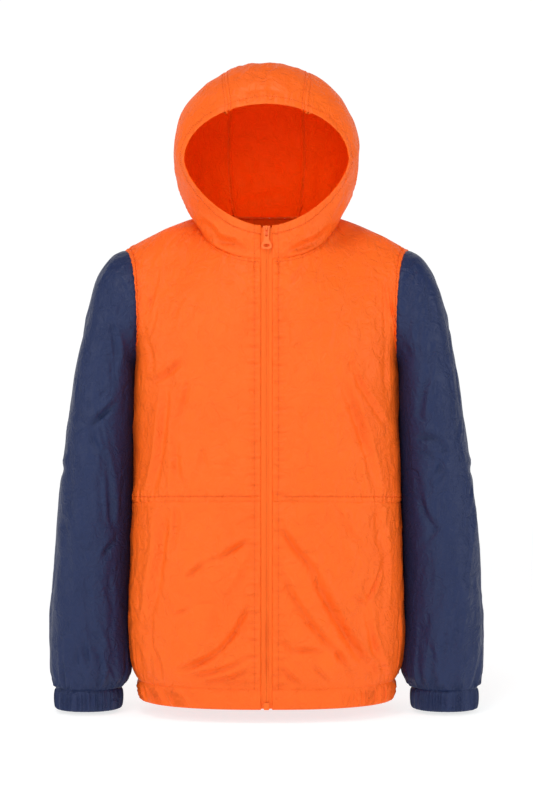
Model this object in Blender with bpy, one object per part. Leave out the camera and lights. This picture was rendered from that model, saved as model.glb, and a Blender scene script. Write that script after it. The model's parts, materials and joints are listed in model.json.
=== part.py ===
# A hooded windbreaker jacket, filled out as if worn: orange body and hood, navy sleeves.
# Metres, +Z up, the front faces -Y. The origin lies between the two neck points of the
# shoulder seams, where the garment hangs on its wearer.
#
# Each group of cloth (body, hood, each sleeve) is one surface of points. The pieces are
# cut from it along their seams, so that neighbours share a mitred edge and a small gap.
import math
import bmesh
import bpy
import numpy as np

# Driving sizes of the cloth
wall = 0.0015               # thickness of every cloth wall
seam_gap = 0.0004           # between two pieces along a seam
sleeve_clear = 0.0007       # between the armhole edge and the sleeve
zip_half = 0.0075           # centre line to the edge of each front

neck_half = 0.096           # neck point of the shoulder seam, from the centre
neck_front_y = -0.102
neck_front_z = -0.0674
neck_back_y = 0.075
neck_back_z = 0.005
neck_side_y = 0.005

tip_x = 0.2025              # shoulder tip
tip_y = 0.010
tip_z = -0.0476

armpit_z = -0.205
waist_z = -0.398            # waist seam at the centre front
waist_dip = 0.007           # how much lower it is at the side
band_top_z = -0.653
hem_z = -0.681
armhole_front = 0.068       # how far the armhole scoops to the front and to the back
armhole_back = 0.066
armhole_waist = 0.006       # how far it curves in across the chest
neck_fall = 0.93            # power of the cosine the neck seam falls with
shoulder_fall = 1.25        # power the shoulder seam falls with
armhole_lean = 3            # power that carries the armhole out to the tip near its top
corner_spread = 0.07        # how far the corner at the neck point is rounded inside a panel

# Bend of the arcs above the armpit, in degrees: at the centre and at the armhole
front_bend = (30.0, 80.0)
front_bend_share = 1 / 1.6  # share of the panel over which the front's bend grows
back_bend = (62.0, 80.0)

# Body rings below the armpit
body_columns = ("z", "half_width", "front", "back")
body_table = (
    (-0.681, 0.1775, 0.1140, 0.1080),
    (-0.667, 0.1790, 0.1150, 0.1090),
    (-0.653, 0.1815, 0.1165, 0.1110),
    (-0.632, 0.1890, 0.1235, 0.1175),
    (-0.600, 0.1935, 0.1280, 0.1220),
    (-0.540, 0.1943, 0.1290, 0.1225),
    (-0.480, 0.1925, 0.1285, 0.1215),
    (-0.398, 0.1893, 0.1265, 0.1195),
    (-0.320, 0.1872, 0.1250, 0.1190),
    (-0.260, 0.1855, 0.1240, 0.1190),
    (-0.205, 0.1846, 0.1230, 0.1190),
)
ring_power = 2.35           # above 2 the ring is squarer than an ellipse

# Sleeve rings: outer and inner line seen from the front, depth to each side, middle
sleeve_columns = ("outer_x", "outer_z", "inner_gap", "inner_z", "depth", "middle_y")
sleeve_table = (
    (0.2195, -0.0585, 0.0010, -0.2200, 0.0715, 0.006),
    (0.2385, -0.0850, 0.0010, -0.2400, 0.0730, 0.006),
    (0.2495, -0.1200, 0.0010, -0.2620, 0.0735, 0.007),
    (0.2590, -0.1600, 0.0010, -0.2880, 0.0735, 0.008),
    (0.2695, -0.2150, 0.0010, -0.3200, 0.0730, 0.009),
    (0.2790, -0.2700, 0.0010, -0.3600, 0.0725, 0.010),
    (0.2870, -0.3300, 0.0010, -0.4020, 0.0715, 0.010),
    (0.2935, -0.3900, 0.0010, -0.4460, 0.0700, 0.009),
    (0.2985, -0.4500, 0.0010, -0.4920, 0.0680, 0.007),
    (0.3025, -0.5100, 0.0010, -0.5400, 0.0655, 0.004),
    (0.3050, -0.5650, 0.0010, -0.5850, 0.0625, 0.001),
    (0.3060, -0.6100, 0.0015, -0.6180, 0.0590, -0.002),
    (0.3045, -0.6420, 0.0085, -0.6430, 0.0540, -0.004),
    (0.2975, -0.6650, 0.0200, -0.6650, 0.0455, -0.005),
)
sleeve_power = 2.15
cuff_inner_x = 0.2068
cuff_outer_x = 0.2972
cuff_depth = 0.0440
cuff_top_z = -0.665
cuff_end_z = -0.695
cuff_y = -0.005
cuff_swell_top = 0.0008     # how far the cuff stands out at its seam and half way down
cuff_swell_middle = 0.0014

# Hood: a rounded balloon, its opening and the neck seam
hood_middle = (0.0, 0.014, 0.075)
hood_radii = (0.1245, 0.126, 0.1415)
hood_power = 2.25
opening_half = 0.1127
opening_middle_z = 0.0697
opening_top_z = 0.1437
opening_end_z = -0.021
opening_y = (-0.096, -0.0945, -0.092, -0.097, -0.104)   # from the zip to the top
opening_end_y = opening_y[0]
opening_low_power = 1.62    # below 2 the lower half of the opening runs to a rounded V
hood_front_share = 0.38     # the share that runs straight from the opening to the neck seam
hood_front_bulge = 0.006
hood_front_power = 1.6      # how fast the opening's shape gives way to the balloon
hood_base_power = 2.2       # and the balloon to the neck seam
hood_lift = (-0.86, 0.60)   # middle of each rib in y and z, in balloon radii: at the zip, at the crown
hood_rise = (-0.84, 0.96)
hood_stretch = 0.55
panel_start = 10 / 12       # where the centre panel starts, 0 at the zip to 1 at the crown
panel_narrow = 0.068        # how much later it starts over the crown, so that it stays even
panel_power = 0.4

# Zip, measured inwards from the outer face of the fronts
tape_half = 0.0125
tape_front = 0.0022
tape_wall = 0.0010
coil_half = 0.0026
coil_front = 0.0009
coil_split = 0.0002
zip_top_z = -0.0238
box_top_z = -0.6705         # box at the foot of the zip
box_half = 0.0038
box_front = -0.0012
tape_end = 0.0012           # the tapes stop this far above the hem

# Slider and pull tab, in their own frame: x across, y inwards, z along the zip
slider_top = 0.0026         # above the hinge of the tab
slider_length = 0.0125
slider_top_half = 0.0050
slider_end_half = 0.0038
slider_front = 0.0003
slider_plate = 0.0012
slider_back = 0.0050
bridge_height = 0.0014
bail_half = 0.0012
bail_reach = 0.0039
bail_bar = 0.0012
bail_top = 0.0024
bail_end = -0.0042
bail_sunk = 0.0004          # how far its feet reach into the front plate
bail_bevel = 0.0009
hinge_z = -0.0245           # height of the hinge of the tab
tab_wall = 0.0014
tab_clear = 0.0004
tab_top = 0.0008            # above the hinge
tab_length = 0.0310
tab_top_half = 0.0028
tab_end_half = 0.0040
tab_downs = (0.0, 0.012, 0.0165, 0.0225, 0.0262, 0.0290)        # below the hinge
tab_halves = (0.0040, 0.0036, 0.0034, 0.0062, 0.0073, 0.0064)   # loop, waist, paddle
tab_slot_half = 0.0021
tab_slot_end = 0.0108       # below the hinge, where the slot's round end starts
tab_hole_half = 0.0046
tab_hole_height = 0.0024
tab_hole_down = 0.0252

# Mesh density
body_rows = (-0.681, -0.653, -0.632, -0.600, -0.545, -0.470, -0.398, -0.350, -0.300, -0.250,
             -0.205)
neck_steps = 6              # columns of a body panel that end at the neck seam
shoulder_steps = 8          # and at the shoulder seam
body_steps = neck_steps + shoulder_steps
neck_share = neck_steps / body_steps
arc_steps = 8
sleeve_steps = 2 * arc_steps
hood_side_steps = 10        # with the panel's steps, twice the neck steps of the body
hood_panel_steps = 2
hood_rib_steps = 11

# Soft folds big enough to change the form: a trough from one point to the next.
# Each row: from a and z, to a and z, half width, depth. On the fronts a is x, on the sleeves
# it is the angle round the arm in degrees, from the outer line to the front.
front_right_folds = (
    (0.070, -0.180, 0.150, -0.420, 0.018, 0.0035),
    (0.050, -0.440, 0.140, -0.640, 0.020, 0.0040),
)
front_left_folds = (
    (-0.165, -0.250, -0.120, -0.430, 0.016, 0.0030),
    (-0.130, -0.520, -0.060, -0.650, 0.020, 0.0035),
)
sleeve_left_folds = (
    (40.0, -0.330, 120.0, -0.300, 0.016, 0.0050),
    (60.0, -0.360, 130.0, -0.430, 0.016, 0.0040),
)
sleeve_right_folds = (
    (30.0, -0.130, 120.0, -0.200, 0.016, 0.0040),
    (40.0, -0.390, 130.0, -0.350, 0.016, 0.0050),
)

orange = (0.955, 0.175, 0.032, 1.0)
navy = (0.035, 0.052, 0.120, 1.0)


# Smooth curve through the points of a table, flat past its ends
def curve(at, xs, ys):
    xs = np.asarray(xs, float)
    ys = np.asarray(ys, float)
    if xs[0] > xs[-1]:
        xs = xs[::-1]
        ys = ys[::-1]
    slopes = np.gradient(ys, xs)
    at = np.clip(at, xs[0], xs[-1])
    k = np.clip(np.searchsorted(xs, at, side="right") - 1, 0, len(xs) - 2)
    span = xs[k + 1] - xs[k]
    t = (at - xs[k]) / span
    start = (1 + 2 * t) * (1 - t) ** 2 * ys[k] + t * (1 - t) ** 2 * span * slopes[k]
    end = t * t * (3 - 2 * t) * ys[k + 1] + t * t * (t - 1) * span * slopes[k + 1]
    return start + end


def column(table, columns, name):
    return np.array([row[columns.index(name)] for row in table])


def body_size(name, z):
    heights = column(body_table, body_columns, "z")
    return curve(z, heights, column(body_table, body_columns, name))


# Share of the way across and of the way deep for an angle share of 0 to 1
def quarter(share, power):
    angle = np.clip(share, 0.0, 1.0) * math.pi / 2
    across = np.sin(angle) ** (2 / power)
    deep = np.clip(np.cos(angle), 0.0, 1.0) ** (2 / power)
    return across, deep


# Level of the body's cloth at share s of the way to the side: it dips at the waist seam
def level(z, s):
    rise = np.clip((z - band_top_z) / (waist_z - band_top_z), 0, 1)
    fall = np.clip((armpit_z - z) / (armpit_z - waist_z), 0, 1)
    return z - waist_dip * s ** 2 * rise * fall


# Body below the armpit. side is -1 for the front and +1 for the back
def ring_point(s, z, side):
    across, deep = quarter(s, ring_power)
    start = zip_half if side < 0 else 0.0
    half = body_size("half_width", z)
    x = start + (half - start) * across
    y = side * body_size("front" if side < 0 else "back", z) * deep
    return np.stack(np.broadcast_arrays(x, y, level(z, s)), axis=-1)


# Neck seam. angle is 0 at the centre and 1 at the neck point
def neck_point(angle, side):
    turn = np.clip(angle, 0.0, 1.0) * math.pi / 2
    start = zip_half if side < 0 else 0.0
    x = start + (neck_half - start) * np.sin(turn)
    end_y = neck_front_y if side < 0 else neck_back_y
    end_z = neck_front_z if side < 0 else neck_back_z
    y = neck_side_y + (end_y - neck_side_y) * np.cos(turn)
    z = end_z * np.cos(turn) ** neck_fall
    return np.stack([x, y, z], axis=-1)


# Top edge of a body panel: neck seam, then shoulder seam
def top_point(s, side):
    neck = neck_point(s / neck_share, side)
    along = np.clip((s - neck_share) / (1 - neck_share), 0.0, 1.0)
    x = neck_half + (tip_x - neck_half) * along
    y = neck_side_y + (tip_y - neck_side_y) * along
    z = tip_z * along ** shoulder_fall
    shoulder = np.stack([x, y, z], axis=-1)
    return np.where((s < neck_share)[..., None], neck, shoulder)


# Armhole edge, v is 0 at the armpit and 1 at the shoulder tip
def armhole_point(v, side):
    turn = math.pi * v
    middle = (armpit_z + tip_z) / 2
    reach = armhole_front if side < 0 else armhole_back
    out = v ** armhole_lean
    x = body_size("half_width", armpit_z) * (1 - out) + tip_x * out
    x = x - armhole_waist * np.sin(turn)
    y = tip_y * v + side * reach * np.sin(turn)
    z = middle - (tip_z - armpit_z) / 2 * np.cos(turn)
    return np.stack([x, y, z], axis=-1)


# Arc from the chest ring to the top edge that turns back by the angle bend
def yoke_arc(foot, top, bend, v):
    up = np.sin(v * bend) / np.sin(bend)
    back = (1 - np.cos(v * bend)) / (1 - np.cos(bend))
    share = np.stack([0.5 * (v + back), back, up], axis=-1)
    return foot + (top - foot) * share


# Body above the armpit: these arcs, led into the armhole towards the side
def yoke_point(s, v, side):
    s, v = np.broadcast_arrays(s, v)
    foot = ring_point(s, np.full_like(s, armpit_z), side)
    spread = np.minimum(np.minimum(s, 1 - s), corner_spread) * (1 - v ** 3)
    offsets = (-1.0, -0.5, 0.0, 0.5, 1.0)
    top = sum(top_point(s + k * spread, side) for k in offsets) / len(offsets)
    low, high = front_bend if side < 0 else back_bend
    share = np.clip(s / front_bend_share, 0, 1) if side < 0 else s
    point = yoke_arc(foot, top, np.radians(low + (high - low) * share), v)
    ones = np.ones_like(s)
    edge_foot = ring_point(ones, ones * armpit_z, side)
    edge = yoke_arc(edge_foot, top_point(ones, side), np.radians(high) * ones, v)
    lead = np.clip((s - neck_share) / (1 - neck_share), 0, 1) ** 2
    return point + lead[..., None] * (armhole_point(v, side) - edge)


# Depth of the folds at a point: each is a soft trough that fades out at its ends
def fold_depth(table, a, z, scale=1.0):
    total = np.zeros(np.broadcast(a, z).shape)
    for from_a, from_z, to_a, to_z, half_width, depth in table:
        ax = (a - from_a) * scale
        bx = (to_a - from_a) * scale
        bz = to_z - from_z
        along = (ax * bx + (z - from_z) * bz) / (bx * bx + bz * bz)
        near = np.clip(along, 0, 1)
        off = np.hypot(ax - near * bx, z - from_z - near * bz)
        total += depth * np.exp(-(off / half_width) ** 2) * np.sin(math.pi * np.clip(near, 0.1, 0.9))
    return total


# One quarter of the body: its points, how far folds sink them, and the piece of each face
def body_quarter(mirror, side):
    s = np.linspace(0, 1, body_steps + 1)[:, None]
    low = ring_point(s, np.array(body_rows)[None, :], side)
    high = yoke_point(s, np.linspace(0, 1, arc_steps + 1)[None, 1:], side)
    points = np.concatenate([low, high], axis=1)
    points[..., 0] *= mirror
    sink = np.zeros(points.shape[:2])
    if side < 0:
        table = front_right_folds if mirror > 0 else front_left_folds
        sink = fold_depth(table, points[..., 0], points[..., 2])
        sink *= (1 - s ** 8) * np.clip(s * 6, 0, 1)
    word = "right" if mirror > 0 else "left"
    labels = []
    for row in range(points.shape[1] - 1):
        top = body_rows[row + 1] if row + 1 < len(body_rows) else 0.0
        if top <= band_top_z:
            labels.append("hem_band")
        elif side > 0:
            labels.append("back")
        elif top <= waist_z:
            labels.append("front_lower_" + word)
        else:
            labels.append("front_upper_" + word)
    faces = [[labels[j] for j in range(len(labels))] for _ in range(body_steps)]
    return points, sink, faces, mirror * side > 0


# Sleeve ring k, turn is 0 at its outer line and 180 at its inner line, to the front first
def sleeve_ring(row, turn):
    size = dict(zip(sleeve_columns, row))
    inner_x = body_size("half_width", size["inner_z"]) + size["inner_gap"]
    power = 2 / sleeve_power
    c = np.sign(np.cos(turn)) * np.abs(np.cos(turn)) ** power
    d = np.sign(np.sin(turn)) * np.abs(np.sin(turn)) ** power
    x = (size["outer_x"] + inner_x) / 2 + (size["outer_x"] - inner_x) / 2 * c
    z = (size["outer_z"] + size["inner_z"]) / 2 + (size["outer_z"] - size["inner_z"]) / 2 * c
    return np.stack([x, size["middle_y"] - size["depth"] * d, z], axis=-1)


def cuff_ring(z, turn, swell):
    power = 2 / sleeve_power
    c = np.sign(np.cos(turn)) * np.abs(np.cos(turn)) ** power
    d = np.sign(np.sin(turn)) * np.abs(np.sin(turn)) ** power
    x = (cuff_outer_x + cuff_inner_x) / 2 + ((cuff_outer_x - cuff_inner_x) / 2 + swell) * c
    y = cuff_y - (cuff_depth + swell) * d
    return np.stack([x, y, np.full_like(x, z)], axis=-1)


# First ring of the sleeve: the armhole edge, moved out by a little more than the seam gap
def sleeve_start(turn):
    front = armhole_point(np.clip(1 - turn / math.pi, 0, 1), -1)
    back = armhole_point(np.clip(turn / math.pi - 1, 0, 1), 1)
    ring = np.where((turn <= math.pi)[:, None], front, back)
    ring[:, 0] += sleeve_clear
    return ring


def sleeve(mirror):
    turn = np.linspace(0, 2 * math.pi, sleeve_steps + 1)
    rings = [sleeve_start(turn)]
    for row in sleeve_table:
        rings.append(sleeve_ring(row, turn))
    seam_row = len(rings) - 1
    rings[-1] = cuff_ring(cuff_top_z, turn, cuff_swell_top)
    rings.append(cuff_ring((cuff_top_z + cuff_end_z) / 2, turn, cuff_swell_middle))
    rings.append(cuff_ring(cuff_end_z, turn, 0.0))
    points = np.stack(rings, axis=1)
    table = sleeve_right_folds if mirror > 0 else sleeve_left_folds
    degrees = np.degrees(turn)[:, None]
    sink = fold_depth(table, degrees, points[..., 2], scale=0.001)
    sink[:, :2] = 0
    sink[:, seam_row - 1:] = 0
    points[..., 0] *= mirror
    word = "right" if mirror > 0 else "left"
    rows = ["sleeve_" + word] * seam_row + ["cuff_" + word] * 2
    faces = [rows for _ in range(sleeve_steps)]
    return points, sink, faces, mirror < 0


# Edge of the hood's opening, t is 0 at the zip and 1 at the top: share of the half width, and z
def opening_point(t):
    angle = (t - 0.5) * math.pi
    low = np.abs(np.sin(angle)) ** (2 / opening_low_power)
    low_x = np.clip(np.cos(angle), 0, 1) ** (2 / opening_low_power)
    share = np.where(t < 0.5, low_x, np.cos(angle))
    z_low = opening_middle_z - (opening_middle_z - opening_end_z) * low
    z_high = opening_middle_z + (opening_top_z - opening_middle_z) * np.abs(np.sin(angle))
    return share, np.where(t < 0.5, z_low, z_high)


def hood_edge(t):
    share, z = opening_point(t)
    start = zip_half * np.clip(1 - 2 * t, 0, 1)
    x = start + (opening_half - start) * share
    y = curve(t, np.linspace(0, 1, len(opening_y)), opening_y)
    return np.stack([x, y, z], axis=-1)


def hood_base(t):
    front = neck_point(t / 0.5, -1)
    back = neck_point((1 - t) / 0.5, 1)
    base = np.where((t < 0.5)[..., None], front, back)
    base[..., 2] += seam_gap
    return base


# Point of the hood on the rib at t, w is 0 at the opening and 1 at the neck seam
def hood_point(t, w):
    t, w = np.broadcast_arrays(t, w)
    middle = np.array(hood_middle)
    radii = np.array(hood_radii)
    start = (hood_edge(t) - middle) / radii
    end = (hood_base(t) - middle) / radii
    rise = (1 - np.cos(math.pi * t)) / 2
    over_y = hood_lift[0] + (hood_lift[1] - hood_lift[0]) * rise
    over_z = hood_rise[0] + (hood_rise[1] - hood_rise[0]) * rise
    over = np.stack([np.sin(math.pi * t), over_y, over_z], axis=-1)
    over = over * (1 + hood_stretch * rise)[..., None]
    keep = ((1 - w) ** 2)[..., None]
    mix = (2 * w * (1 - w))[..., None]
    last = (w ** 2)[..., None]
    way = keep * start + mix * over + last * end

    def size(vector):
        return (np.abs(vector) ** hood_power).sum(axis=-1) ** (1 / hood_power)

    near = (1 - w) ** hood_front_power
    far = w ** hood_base_power
    reach = 1 + near * (size(start) - 1) + far * (size(end) - 1)
    round_part = middle + radii * way / size(way)[..., None] * reach[..., None]
    straight = middle + radii * (start + (end - start) * w[..., None])
    straight[..., 1] -= hood_front_bulge * np.sin(math.pi * w) * np.clip(8 * t, 0, 1)
    fade = np.clip(t / hood_front_share, 0, 1)
    fade = (fade * fade * (3 - 2 * fade))[..., None]
    return straight + (round_part - straight) * fade


def hood_half(mirror):
    w = np.linspace(0, 1, hood_rib_steps + 1)[None, :]
    start = panel_start + panel_narrow * np.clip(np.sin(math.pi * w), 0, 1) ** panel_power
    side = np.linspace(0, 1, hood_side_steps + 1)[:, None] * start
    panel = start + np.linspace(0, 1, hood_panel_steps + 1)[1:, None] * (1 - start)
    t = np.concatenate([side, panel])
    points = hood_point(t, w)
    points[..., 0] *= mirror
    sink = np.zeros(points.shape[:2])
    word = "hood_right" if mirror > 0 else "hood_left"
    faces = [[word] * hood_rib_steps for _ in range(hood_side_steps)]
    faces += [["hood_center"] * hood_rib_steps for _ in range(hood_panel_steps)]
    return points, sink, faces, mirror > 0


# Joins patches of points into one surface, with equal points made one
def surface_of(patches):
    points = []
    sinks = []
    quads = []
    labels = []
    known = {}
    for grid, sink, faces, turned in patches:
        index = np.zeros(grid.shape[:2], int)
        for i in range(grid.shape[0]):
            for j in range(grid.shape[1]):
                key = tuple(np.round(grid[i, j] * 1e5 + 0.123).astype(int))
                if key not in known:
                    known[key] = len(points)
                    points.append(grid[i, j])
                    sinks.append(sink[i, j])
                index[i, j] = known[key]
        for i in range(grid.shape[0] - 1):
            for j in range(grid.shape[1] - 1):
                quad = [index[i, j], index[i + 1, j], index[i + 1, j + 1], index[i, j + 1]]
                quads.append(quad[::-1] if turned else quad)
                labels.append(faces[i][j])
    return np.array(points), np.array(sinks), quads, labels


def unit(vector):
    return vector / max(np.linalg.norm(vector), 1e-12)


def point_normals(points, quads):
    normals = np.zeros_like(points)
    for quad in quads:
        a, b, c, d = points[quad]
        normals[quad] += unit(np.cross(c - a, d - b))
    return normals / np.linalg.norm(normals, axis=1)[:, None]


# How far each point of a piece is drawn back from its seams
def seam_shift(points, quads, labels, name):
    owners = {}
    for quad, label in zip(quads, labels):
        for a, b in zip(quad, quad[1:] + quad[:1]):
            owners.setdefault((min(a, b), max(a, b)), []).append(label)
    pulls = {}
    rim = []
    for quad, label in zip(quads, labels):
        if label != name:
            continue
        middle = points[quad].mean(axis=0)
        for a, b in zip(quad, quad[1:] + quad[:1]):
            sharing = owners[(min(a, b), max(a, b))]
            if sharing.count(name) == 2:
                continue
            rim.append((a, b))
            along = unit(points[b] - points[a])
            inward = middle - points[a]
            inward = unit(inward - along * inward.dot(along))
            amount = seam_gap / 2 if len(sharing) == 2 else 0.0
            for corner in (a, b):
                pulls.setdefault(corner, []).append((inward, amount))
    shift = {}
    for corner, both in pulls.items():
        (first, near), (second, far) = both[0], both[-1]
        cosine = min(first.dot(second), 0.9)
        scale = 1 - cosine ** 2
        first_share = (near - cosine * far) / scale
        second_share = (far - cosine * near) / scale
        shift[corner] = first * first_share + second * second_share
    return shift, rim


# Closed wall of one piece: outer face, inner face and the rim between them
def cut_piece(name, surface, material):
    points, sinks, quads, labels = surface
    normals = point_normals(points, quads)
    shift, rim = seam_shift(points, quads, labels, name)
    used = sorted({corner for quad, label in zip(quads, labels) if label == name for corner in quad})
    place = {corner: k for k, corner in enumerate(used)}
    outer = []
    inner = []
    for corner in used:
        point = points[corner] - normals[corner] * sinks[corner] + shift.get(corner, 0.0)
        outer.append(point)
        inner.append(point - normals[corner] * wall)
    count = len(used)
    faces = []
    for quad, label in zip(quads, labels):
        if label != name:
            continue
        a, b, c, d = [place[corner] for corner in quad]
        short = np.linalg.norm(outer[a] - outer[c]) <= np.linalg.norm(outer[b] - outer[d])
        halves = ((a, b, c), (a, c, d)) if short else ((a, b, d), (b, c, d))
        for half in halves:
            if len(set(half)) == 3:
                faces.append(half)
                faces.append(tuple(corner + count for corner in half[::-1]))
    for a, b in rim:
        a = place[a]
        b = place[b]
        faces.append((b, a, a + count, b + count))
    return add_object(name, outer + inner, faces, material)


def add_object(name, points, faces, material):
    mesh = bpy.data.meshes.new(name)
    mesh.from_pydata([tuple(float(c) for c in point) for point in points], [], faces)
    mesh.materials.append(material)
    mesh.update()
    node = bpy.data.objects.new(name, mesh)
    bpy.context.scene.collection.objects.link(node)
    return node


def cloth_material(name, colour, roughness, metallic=0.0):
    material = bpy.data.materials.new(name)
    material.use_nodes = True
    shader = material.node_tree.nodes["Principled BSDF"]
    shader.inputs["Base Color"].default_value = colour
    shader.inputs["Roughness"].default_value = roughness
    shader.inputs["Metallic"].default_value = metallic
    return material


# Centre line of the zip on the outer face of the fronts: y, z and how fast the front
# falls back from its edge towards the side
def zip_line():
    pair = np.array([0.0, 1.0 / body_steps])
    rows = [ring_point(pair, np.full(2, z), -1) for z in body_rows if z > box_top_z + 0.002]
    rows += [yoke_point(pair, np.full(2, k / arc_steps), -1) for k in range(1, arc_steps + 1)]
    low = [ring_point(pair, np.full(2, z), -1) for z in (hem_z + tape_end, box_top_z, box_top_z + 0.0001)]
    pair = np.array([0.0, panel_start / hood_side_steps])
    upper = [hood_point(pair, np.full(2, k / hood_rib_steps)) for k in range(hood_rib_steps - 1, 0, -1)]
    line = []
    for edge, beside in low + rows + upper:
        if edge[2] < zip_top_z - 0.0015:
            line.append((edge[1], edge[2], (beside[1] - edge[1]) / (beside[0] - edge[0])))
    share = (zip_top_z - neck_front_z) / (opening_end_z - neck_front_z)
    line.append((neck_front_y + (opening_end_y - neck_front_y) * share, zip_top_z, line[-1][2]))
    return np.array(line)


def zip_tape(name, mirror, material):
    line = zip_line()
    runs = np.gradient(line[:, :2], axis=0)
    points = []
    for k, ((y, z, fall), (dy, dz)) in enumerate(zip(line, runs)):
        length = math.hypot(dy, dz)
        coil = coil_front if k > 1 else tape_front - 0.0002
        sunk = fall * (tape_half - zip_half)
        section = (
            (coil_split, coil), (coil_half, coil), (coil_half, tape_front),
            (zip_half, tape_front), (tape_half, tape_front + sunk),
            (tape_half, tape_front + sunk + tape_wall), (zip_half, tape_front + tape_wall),
            (coil_split, tape_front + tape_wall),
        )
        for across, deep in section:
            points.append((mirror * across, y + deep * dz / length, z - deep * dy / length))
    faces = []
    sides = 8
    for k in range(len(line) - 1):
        for i in range(sides):
            j = (i + 1) % sides
            start = k * sides
            faces.append((start + i, start + j, start + sides + j, start + sides + i))
    last = (len(line) - 1) * sides
    for face in ((0, 7, 2, 1), (7, 6, 3, 2), (6, 5, 4, 3)):
        faces.append(face)
        faces.append(tuple(last + k for k in face[::-1]))
    if mirror < 0:
        faces = [face[::-1] for face in faces]
    return add_object(name, points, faces, material)


# Block made from an outline in y and z, or in x and z, and a pair of ends
def block(name, outline, low, high, upright=True):
    count = len(outline)
    points = []
    for across in (low, high):
        for a, z in outline:
            points.append((across, a, z) if upright else (a, across, z))
    faces = [tuple(range(count))[::-1], tuple(range(count, 2 * count))]
    for i in range(count):
        j = (i + 1) % count
        faces.append((i, j, count + j, count + i))
    mesh = bpy.data.meshes.new(name)
    mesh.from_pydata(points, [], faces)
    shape = bmesh.new()
    shape.from_mesh(mesh)
    bmesh.ops.recalc_face_normals(shape, faces=shape.faces)
    shape.to_mesh(mesh)
    shape.free()
    return mesh


def zip_frame():
    lean = math.atan2(opening_end_y - neck_front_y, opening_end_z - neck_front_z)
    share = (hinge_z - neck_front_z) / (opening_end_z - neck_front_z)
    y = neck_front_y + (opening_end_y - neck_front_y) * share
    return lean, y


# Depth of the hinge of the tab before the outer face of the fronts
hinge_front = slider_front - slider_plate - tab_clear - tab_wall / 2


# Slider: two plates held by a bridge above the coil, and a bail on the front plate
def zip_slider(material):
    lean, y = zip_frame()
    face = slider_front - slider_plate
    end = slider_top - slider_length
    body_line = (
        (face, slider_top), (slider_back, slider_top), (slider_back, end),
        (slider_back - slider_plate, end), (slider_back - slider_plate, slider_top - bridge_height),
        (slider_front, slider_top - bridge_height), (slider_front, end), (face, end),
    )
    mesh = block("zip_slider", body_line, -1.0, 1.0)
    for vertex in mesh.vertices:
        down = (slider_top - vertex.co.z) / slider_length
        vertex.co.x *= slider_top_half + (slider_end_half - slider_top_half) * down
        vertex.co.y -= hinge_front
    foot = face + bail_sunk
    outer = face - bail_reach
    bail_line = (
        (foot, bail_top), (foot, bail_top - bail_bar),
        (outer + bail_bar, bail_top - bail_bar), (outer + bail_bar, bail_end + bail_bar),
        (foot, bail_end + bail_bar), (foot, bail_end),
        (outer + bail_bevel, bail_end), (outer, bail_end + bail_bevel),
        (outer, bail_top - bail_bevel), (outer + bail_bevel, bail_top),
    )
    bail_line = tuple((a - hinge_front, b) for a, b in bail_line)
    bail = bpy.data.objects.new("bail", block("bail", bail_line, -bail_half, bail_half))
    bpy.context.scene.collection.objects.link(bail)
    bail.hide_render = True
    bail.display_type = "WIRE"
    mesh.materials.append(material)
    slider = bpy.data.objects.new("zip_slider", mesh)
    bpy.context.scene.collection.objects.link(slider)
    joined = slider.modifiers.new("bail", "BOOLEAN")
    joined.operation = "UNION"
    joined.object = bail
    for node in (slider, bail):
        node.location = (0.0, y + hinge_front * math.cos(lean), hinge_z - hinge_front * math.sin(lean))
        node.rotation_euler = (-lean, 0.0, 0.0)
    return slider


# Half width of the tab at a depth below its hinge: loop, waist, paddle
def tab_half(down):
    return float(curve(down, tab_downs, tab_halves))


# Pull tab: a flat keyhole shape with a slot for the bail and an oval hole in its paddle
def zip_pull(material):
    lean, y = zip_frame()
    shape = bpy.data.curves.new("zip_pull", "CURVE")
    shape.dimensions = "2D"
    shape.fill_mode = "BOTH"
    shape.extrude = tab_wall / 2
    side = [(tab_top_half, tab_top)]
    for down in np.linspace(0.0006, tab_downs[-1], 14):
        side.append((tab_half(down), -down))
    side.append((tab_end_half, -tab_length + tab_top + 0.0003))
    outline = side + [(-a, b) for a, b in side[::-1]]
    slot = []
    for k in range(9):
        turn = math.pi * k / 8
        slot.append((tab_slot_half * math.cos(turn), -tab_slot_end - tab_slot_half * math.sin(turn)))
    slot += [(-tab_slot_half, -tab_top), (tab_slot_half, -tab_top)]
    hole = []
    for k in range(14):
        turn = 2 * math.pi * k / 14
        hole.append((tab_hole_half * math.cos(turn), -tab_hole_down + tab_hole_height * math.sin(turn)))
    for points in (outline, slot, hole):
        line = shape.splines.new("POLY")
        line.points.add(len(points) - 1)
        for point, (a, b) in zip(line.points, points):
            point.co = (a, b, 0.0, 1.0)
        line.use_cyclic_u = True
    shape.materials.append(material)
    tab = bpy.data.objects.new("zip_pull", shape)
    bpy.context.scene.collection.objects.link(tab)
    tab.location = (0.0, y + hinge_front * math.cos(lean), hinge_z - hinge_front * math.sin(lean))
    tab.rotation_euler = (math.pi / 2 - lean, 0.0, 0.0)
    return tab


# Box at the foot of the zip, on the tapes
def zip_box(material):
    y = ring_point(np.array(0.0), np.array((hem_z + box_top_z) / 2), -1)[1]
    outline = (
        (-box_half + 0.0008, hem_z + 0.0002), (box_half - 0.0008, hem_z + 0.0002),
        (box_half, hem_z + 0.0012), (box_half, box_top_z - 0.0018),
        (box_half - 0.0012, box_top_z - 0.0004), (-box_half + 0.0012, box_top_z - 0.0004),
        (-box_half, box_top_z - 0.0018), (-box_half, hem_z + 0.0012),
    )
    mesh = block("zip_box", outline, y + box_front, y + tape_front - 0.0009, upright=False)
    mesh.materials.append(material)
    node = bpy.data.objects.new("zip_box", mesh)
    bpy.context.scene.collection.objects.link(node)
    return node


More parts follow.
